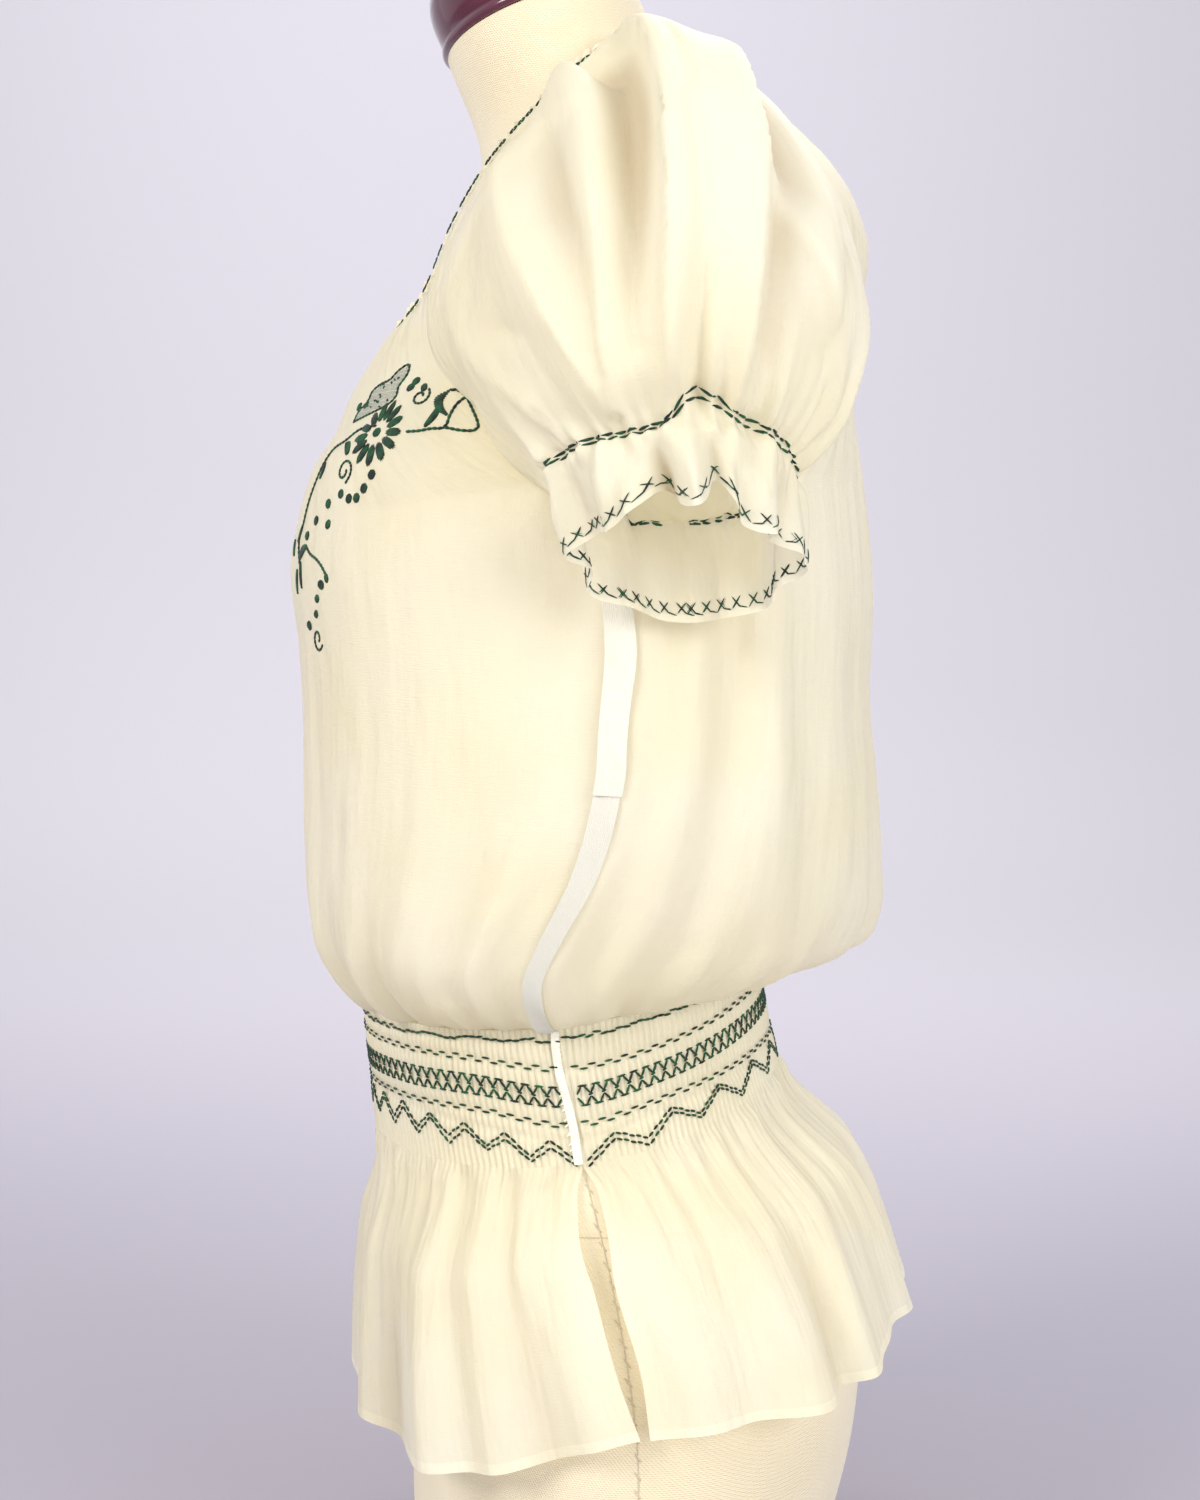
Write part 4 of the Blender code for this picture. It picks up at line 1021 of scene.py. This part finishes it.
seams = Needlework(with_out(lambda angle, height: form_point(angle, height, 0.0002), sign=-1))
draw = random.Random(59)
for angle in (0.5 * math.pi, 1.5 * math.pi):
    seams.stem([(angle, 0.004), (angle, 0.080), (angle, 0.150), (angle, 0.225)], 0.010, 0.0006)
    for height in np.arange(0.008, 0.220, 0.0075):
        shift = draw.uniform(-0.004, 0.004)
        seams.stitch((angle - 0.010 + shift, height), (angle + 0.012 + shift, height + 0.0040), 0.0008)
seams.stem([(angle, 0.201) for angle in (0.0, 1.6, 3.1, 4.7, 2 * math.pi)], 0.010, 0.0006)
seams.piece("form_seams", linen, "canvas_cover")

# The neckline's chain stitch draws up the gathers under the frill, in short stretches with gaps between.

CHAIN_LINK = 0.0056
NECK_WORK_OUT = 0.0032


def neck_surface(step, away):
    """Points on the gathered cloth just below the neckline, away from it in metres."""
    spot = neckline(step)
    outward = unit(spot - (0.0, -0.018, 0.640))
    return spot + outward * (NECK_WORK_OUT + 0.3 * away[..., None]) + away[..., None] * (0, 0, -0.8)


def chain(work, path, link, bow, width=FLOSS):
    """Chain stitch: each link is a pair of bowed stitches."""
    stops = work.spread(path, link)
    for here, there in zip(stops, stops[1:]):
        middle = (here + there) / 2
        for way in (-1, 1):
            work.stitch(here, middle + way * bow, width)
            work.stitch(middle + way * bow, there, width)


neck_work = Needlework(with_out(neck_surface))
draw = random.Random(61)
for side in (-1, 1):
    step = 0.004
    while step < NECK_HALF - 0.008:
        stretch = draw.uniform(0.010, 0.019)
        chain(neck_work, [(side * step, draw.uniform(-0.0006, 0.0006)),
                          (side * (step + stretch), draw.uniform(-0.0006, 0.0006))], CHAIN_LINK,
              np.array([0.0, 0.0011]), 0.0009)
        step += stretch + draw.uniform(0.001, 0.005)
neck_work.piece("neckline_stitches", floss, "silk_cloth")

# Each sleeve has a double line of long stitches over the gathers of its cuff, and small crosses along the
# hem of its ruffle.

CUFF_LINES = (-0.0045, 0.0045)                      # of the sleeve's length, from the cuff line
CROSSES, CROSS_ARM = 42, 0.0021


def sleeve_surface(side, out):
    """The folded sleeve, as far outside its cloth as asked."""
    return with_out(lambda turn, share: sleeve_point(side, turn, share, out)[0], sign=side)


for side, name in ((1, "left"), (-1, "right")):
    draw = random.Random(71)
    work = Needlework(sleeve_surface(side, 0.0003))
    for line in CUFF_LINES:
        turn = 0.02
        while turn < 0.98:
            reach, drift = draw.uniform(0.013, 0.020), draw.uniform(-0.003, 0.003)
            here, there = columns_at(np.array([turn, turn + reach]), CUFF_LINE)[0]
            work.stitch((turn, here + line + drift), (turn + reach, there + line - drift), 0.0014)
            turn += reach * draw.uniform(0.92, 1.12)
    work.piece("cuff_stitches_" + name, floss, "silk_cloth")
    for face, out in (("outside", 0.0002), ("inside", -0.0003)):
        work = Needlework(sleeve_surface(side, out))
        for cross in range(CROSSES):
            turn = 0.006 + 0.988 * cross / (CROSSES - 1) + draw.uniform(-0.002, 0.002)
            wide, along = CROSS_ARM / 0.30, CROSS_ARM / 0.17
            lean = draw.uniform(-0.3, 0.3)
            work.stitch((turn - wide, 0.972 - along), (turn + wide, 0.972 + along), 0.0007)
            work.stitch((turn - wide, 0.972 + along * (1 - lean)), (turn + wide, 0.972 - along), 0.0007)
            work.stitch((turn + 0.3 * wide, 0.972 + 0.6 * along), (turn + 2.4 * wide, 0.974 + along), 0.0006)
        work.piece("ruffle_crosses_" + name + "_" + face, floss, "silk_cloth")

# On each side of the front a spray of flowers falls from the neckline: satin-stitched petals, leaves and
# seeds on stem-stitched tendrils, with one leaf of drawn threadwork.

SATIN = 0.0010              # width of one thread of the satin stitch
FLOWER = (0.640, 0.700)     # as across and share on the front
PETALS, PETAL_INNER, PETAL_OUTER, PETAL_WIDTH = 13, 0.0054, 0.0150, 0.0034
# across, share, length, width, lean in degrees from upright
SEEDS = [
    (0.64, 0.7, 5, 4.2, 20), (0.81, 0.77, 5, 3.4, 60), (0.838, 0.778, 5, 3.4, 50),
    (0.868, 0.762, 5.2, 2.8, -20), (0.57, 0.63, 5, 3.8, 30), (0.532, 0.612, 5, 3.6, 20),
    (0.5, 0.6, 4.8, 3.6, 20), (0.474, 0.601, 4.8, 3.6, 10), (0.447, 0.61, 4.6, 3.4, -10),
    (0.39, 0.6, 4.8, 3.8, 15), (0.33, 0.58, 4.8, 3.6, -5), (0.39, 0.57, 4.8, 3.6, -5),
    (0.29, 0.56, 4.6, 4, 20), (0.37, 0.49, 4.6, 4.8, 10), (0.345, 0.476, 4, 3.6, -20),
    (0.33, 0.461, 4, 3.6, -15), (0.28, 0.45, 4.6, 5, 10), (0.56, 0.77, 4.6, 3.4, 60),
    (0.5, 0.775, 4.6, 3.4, 40), (0.56, 0.69, 5, 3.4, 30), (0.395, 0.497, 4.8, 2.6, -20),
]
# across, share, length, width, lean in degrees, curl as a share of the length
LEAVES = [
    (0.818, 0.694, 11, 3.6, 20, 0.08), (1, 0.762, 9, 4.2, -30, -0.1), (0.495, 0.672, 8, 4.8, -50, 0.05),
    (0.29, 0.545, 9.5, 5.2, -130, 0.1), (0.262, 0.52, 10, 3, 175, 0.05), (0.235, 0.51, 9.5, 3, 190, 0.05),
    (0.24, 0.58, 8.5, 3.4, 200, 0.05), (0.18, 0.56, 8.5, 3.4, 150, 0.05), (0.33, 0.64, 8, 3, 15, 0.05),
]
TENDRILS = [
    [(0.64, 0.715), (0.59, 0.718), (0.54, 0.716), (0.47, 0.7), (0.4, 0.69), (0.335, 0.66), (0.29, 0.63),
     (0.265, 0.61), (0.25, 0.59), (0.232, 0.56), (0.245, 0.535), (0.258, 0.515)],
    [(0.75, 0.69), (0.79, 0.688), (0.83, 0.689), (0.87, 0.688), (0.915, 0.706), (0.96, 0.722), (1, 0.73)],
    [(0.87, 0.688), (0.905, 0.68), (0.945, 0.68), (0.98, 0.7), (0.999, 0.726), (0.988, 0.742),
     (0.96, 0.745)],
    [(0.29, 0.545), (0.32, 0.53), (0.35, 0.522), (0.375, 0.512), (0.395, 0.5)],
]
# a curled leaf's two edges, from its stalk to its tip
CURLED_LEAF = [
    [(0.9, 0.708), (0.884, 0.722), (0.9, 0.74), (0.962, 0.747)],
    [(0.914, 0.709), (0.916, 0.72), (0.926, 0.731), (0.962, 0.745)],
]
# across, share, radius, turns, start in degrees, way round
SPIRALS = [
    (0.846, 0.748, 0.005, 1.15, 40, 1), (0.468, 0.642, 0.0062, 1.25, 150, -1),
    (0.322, 0.438, 0.0056, 1.1, 120, 1),
]
# the drawn-thread leaf's outline round its middle, in metres sideways and up
NET_LEAF = (0.664, 0.774)
NET_OUTLINE = [
    (-0.015, -0.0125), (-0.0165, -0.0065), (-0.012, -0.0015), (-0.0125, 0.0035), (-0.007, 0.007),
    (0, 0.0085), (0.004, 0.013), (0.0105, 0.0158), (0.012, 0.01), (0.009, 0.004), (0.0105, -0.001),
    (0.006, -0.006),
]


def shifted(place, sideways, up):
    """Places on the front, so many metres towards the side and up from a place there."""
    step, (across, share) = 0.004, np.array(place)[:, None]
    by_across, by_share = ((panel_point(across + a, share + b, False)
                            - panel_point(across - a, share - b, False))[0] / 2 / step
                           for a, b in ((step, 0), (0, step)))
    out = unit(np.cross(by_across, by_share))
    upward = unit(np.array([0, 0, 1.0]) - out * out[2])
    towards_side = unit(by_across - upward * (by_across @ upward))
    to_cut = np.linalg.pinv(np.stack([by_across, by_share], axis=1))
    moved = np.multiply.outer(sideways, towards_side) + np.multiply.outer(up, upward)
    return np.array(place) + moved @ to_cut.T


def satin(work, place, length, width, lean, start=0.0):
    """A small oval of satin stitch: threads side by side along its length."""
    threads_across = max(2, round(width / SATIN / 0.7))
    way = math.radians(lean)
    for thread in range(threads_across):
        off = (thread + 0.5) / threads_across * 2 - 1
        half = length / 2 * math.sqrt(1 - 0.75 * off * off)
        middle = start + length / 2
        ends = [middle - half, middle + half]
        spots = shifted(place, [end * math.sin(way) + off * width / 2 * math.cos(way) for end in ends],
                        [end * math.cos(way) - off * width / 2 * math.sin(way) for end in ends])
        work.stitch(spots[0], spots[1], SATIN * 1.25, 0.0012)


def satin_leaf(work, place, length, width, lean, curl):
    """A pointed leaf of satin stitch: slanted threads side by side from its stalk to its tip."""
    way, count = math.radians(lean), round(length / SATIN / 0.8)
    for thread in range(count):
        along = (thread + 0.5) / count
        half = width / 2 * math.sin(math.pi * along ** 0.8) ** 0.7 + 0.0003
        bend = curl * length * math.sin(math.pi * along)
        ends = [(along * length - 0.6 * half, bend - half), (along * length + 0.6 * half, bend + half)]
        spots = shifted(place, [run * math.sin(way) + off * math.cos(way) for run, off in ends],
                        [run * math.cos(way) - off * math.sin(way) for run, off in ends])
        work.stitch(spots[0], spots[1], SATIN * 1.6, 0.0012)


front_surface = with_out(lambda across, share: panel_point(across, share, False,
                                                           panel_relief(across, share, False) + 0.0002))
spray = Needlework(front_surface)
for petal in range(PETALS):
    satin(spray, FLOWER, PETAL_OUTER - PETAL_INNER, PETAL_WIDTH, 360 * petal / PETALS + 10, PETAL_INNER)
for across, share, length, width, lean in SEEDS:
    satin(spray, (across, share), length * MM, width * MM, lean, -length * MM / 2)
for across, share, length, width, lean, curl in LEAVES:
    satin_leaf(spray, (across, share), length * MM, width * MM, lean, curl)
marks = np.linspace(0, 3, 16)
edges = [smooth(marks, np.column_stack([np.arange(4), edge])) for edge in CURLED_LEAF]
for outer, inner in zip(*edges):
    spray.stitch(outer, inner, SATIN * 1.6, 0.0012)
for path in TENDRILS:
    spray.stem(path, 0.0026, 0.0016)
for across, share, radius, turns, start, way in SPIRALS:
    swing = np.linspace(0, 1, 14)
    turned = np.radians(start) + way * swing * turns * 2 * math.pi
    reach = radius * (1 - 0.72 * swing)
    spray.stem(shifted((across, share), reach * np.sin(turned), reach * np.cos(turned)), 0.0020, 0.0014)
outline = np.array(NET_OUTLINE + NET_OUTLINE[:1])
spray.stem(shifted(NET_LEAF, outline[:, 0], outline[:, 1]), 0.0024, 0.0014)
draw = random.Random(81)
for _ in range(16):
    spot = (draw.uniform(-0.011, 0.007), draw.uniform(-0.008, 0.009))
    satin(spray, shifted(NET_LEAF, [spot[0]], [spot[1]])[0], 0.0010, 0.0009, draw.uniform(0, 180))
spray.stitches += [(-start, low, -end, high, *sizes) for start, low, end, high, *sizes in spray.stitches]
spray.piece("front_embroidery", floss, "silk_cloth")

# The drawn-thread leaves are filled with a grey net of fine crossing threads.

NET_STEP, NET_STITCH = 0.0009, 0.0022

net = Finish("grey net thread", Roughness=0.6)
net_cloud = net.noise(net.place(), 400.0, 2.0)
net.use(Base_Color=net.blend(net_cloud, (0.36, 0.39, 0.34, 1), (0.55, 0.57, 0.50, 1)),
        Normal=net.bumps(net_cloud, 0.00005))


def inside(x, y, corners):
    """Whether a place lies inside an outline."""
    return sum((y0 > y) != (y1 > y) and x < x0 + (y - y0) * (x1 - x0) / (y1 - y0)
               for (x0, y0), (x1, y1) in zip(corners, corners[1:] + corners[:1])) % 2 == 1


filling = Needlework(front_surface)
for upright in (False, True):
    for line in np.arange(-0.020, 0.020, NET_STEP):
        for start in np.arange(-0.020, 0.020, NET_STITCH):
            ends = [(start, line), (start + NET_STITCH, line)]
            if upright:
                ends = [end[::-1] for end in ends]
            if all(inside(*end, NET_OUTLINE) for end in ends):
                spots = shifted(NET_LEAF, [end[0] for end in ends], [end[1] for end in ends])
                for side in (1, -1):
                    filling.stitch(spots[0] * (side, 1), spots[1] * (side, 1), 0.0004, 0.0003)
filling.piece("net_leaf_threads", net, "silk_cloth")

# The pale studio floor sweeps up behind the form. Large soft lights stand before it on both sides.

# painted shade: the one studio paper gets a darker colour on the floor and a lighter one up the wall
SHADED_FLOOR_COLOUR = (0.37, 0.348, 0.40, 1)
paper = Finish("studio paper", Roughness=0.9)
paper_place = paper.place()
# painted shade: darkest on the floor near and in front of the form, lighter further back and up the wall
painted_wall_light = (paper.part_of(paper_place, "X") * -1 + paper.part_of(paper_place, "Z")).between(0.1, 2.6)
paper.use(Base_Color=paper.blend(painted_wall_light, SHADED_FLOOR_COLOUR, (0.59, 0.572, 0.600, 1)),
          Roughness=paper.noise(paper.place(), 3.0) * 0.1 + 0.85)
# distance behind the form, height
SWEEP = np.array([(0, -2.4, 0), (1, 0, 0), (2, 1.6, 0), (3, 2.6, 0.25), (4, 3.0, 1.2), (5, 3.0, 3.4)])


def sweep_point(u, v):
    behind, height = columns_at(v * 5, SWEEP)
    return points_of(-behind, mix(-3.5, 3.5, u), height)


new_object("studio_floor", laid_grid(24, 60, sweep_point), paper)


def aimed(thing, place, aim):
    """Puts a lamp or camera at a place and turns it to look at another."""
    thing.location = place
    thing.rotation_euler = (Vector(aim) - Vector(place)).to_track_quat("-Z", "Y").to_euler()
    return thing


def soft_light(name, place, aim, size, watts, colour):
    light = bpy.data.lights.new(name, "AREA")
    light.shape, light.size, light.energy, light.color = "DISK", size, watts, colour
    aimed(linked(name, light), place, aim)


soft_light("key light", (1.5, -1.5, 1.5), (0, 0, 0.4), 1.0, 31, (1.0, 0.97, 0.92))
soft_light("fill light", (1.6, 1.3, 0.9), (0, 0, 0.4), 1.2, 22, (0.95, 0.96, 1.0))
soft_light("low light", (1.5, 0.1, 0.12), (0, 0, 0.15), 0.8, 4, (1.0, 0.98, 0.94))
soft_light("back light", (-1.2, 0.6, 1.8), (0, 0, 0.5), 1.2, 14, (1.0, 0.98, 0.95))
soft_light("backdrop light", (-1.0, -0.4, 2.2), (-3.0, 0.3, 0.8), 1.8, 32, (0.95, 0.94, 1.0))

world = bpy.data.worlds.new("studio air")
world.use_nodes = True
air = world.node_tree.nodes["Background"].inputs
air["Color"].default_value, air["Strength"].default_value = (0.88, 0.88, 0.94, 1), 0.78
bpy.context.scene.world = world

# plain colours, as from a camera with no tone curve
bpy.context.scene.view_settings.view_transform = "Standard"
camera = aimed(linked("camera", bpy.data.cameras.new("camera")), (1.0, 0.0, 0.45), (0.0, 0.0, 0.40))
camera.data.lens, camera.data.sensor_width = 50.46, 36
bpy.context.scene.camera = camera
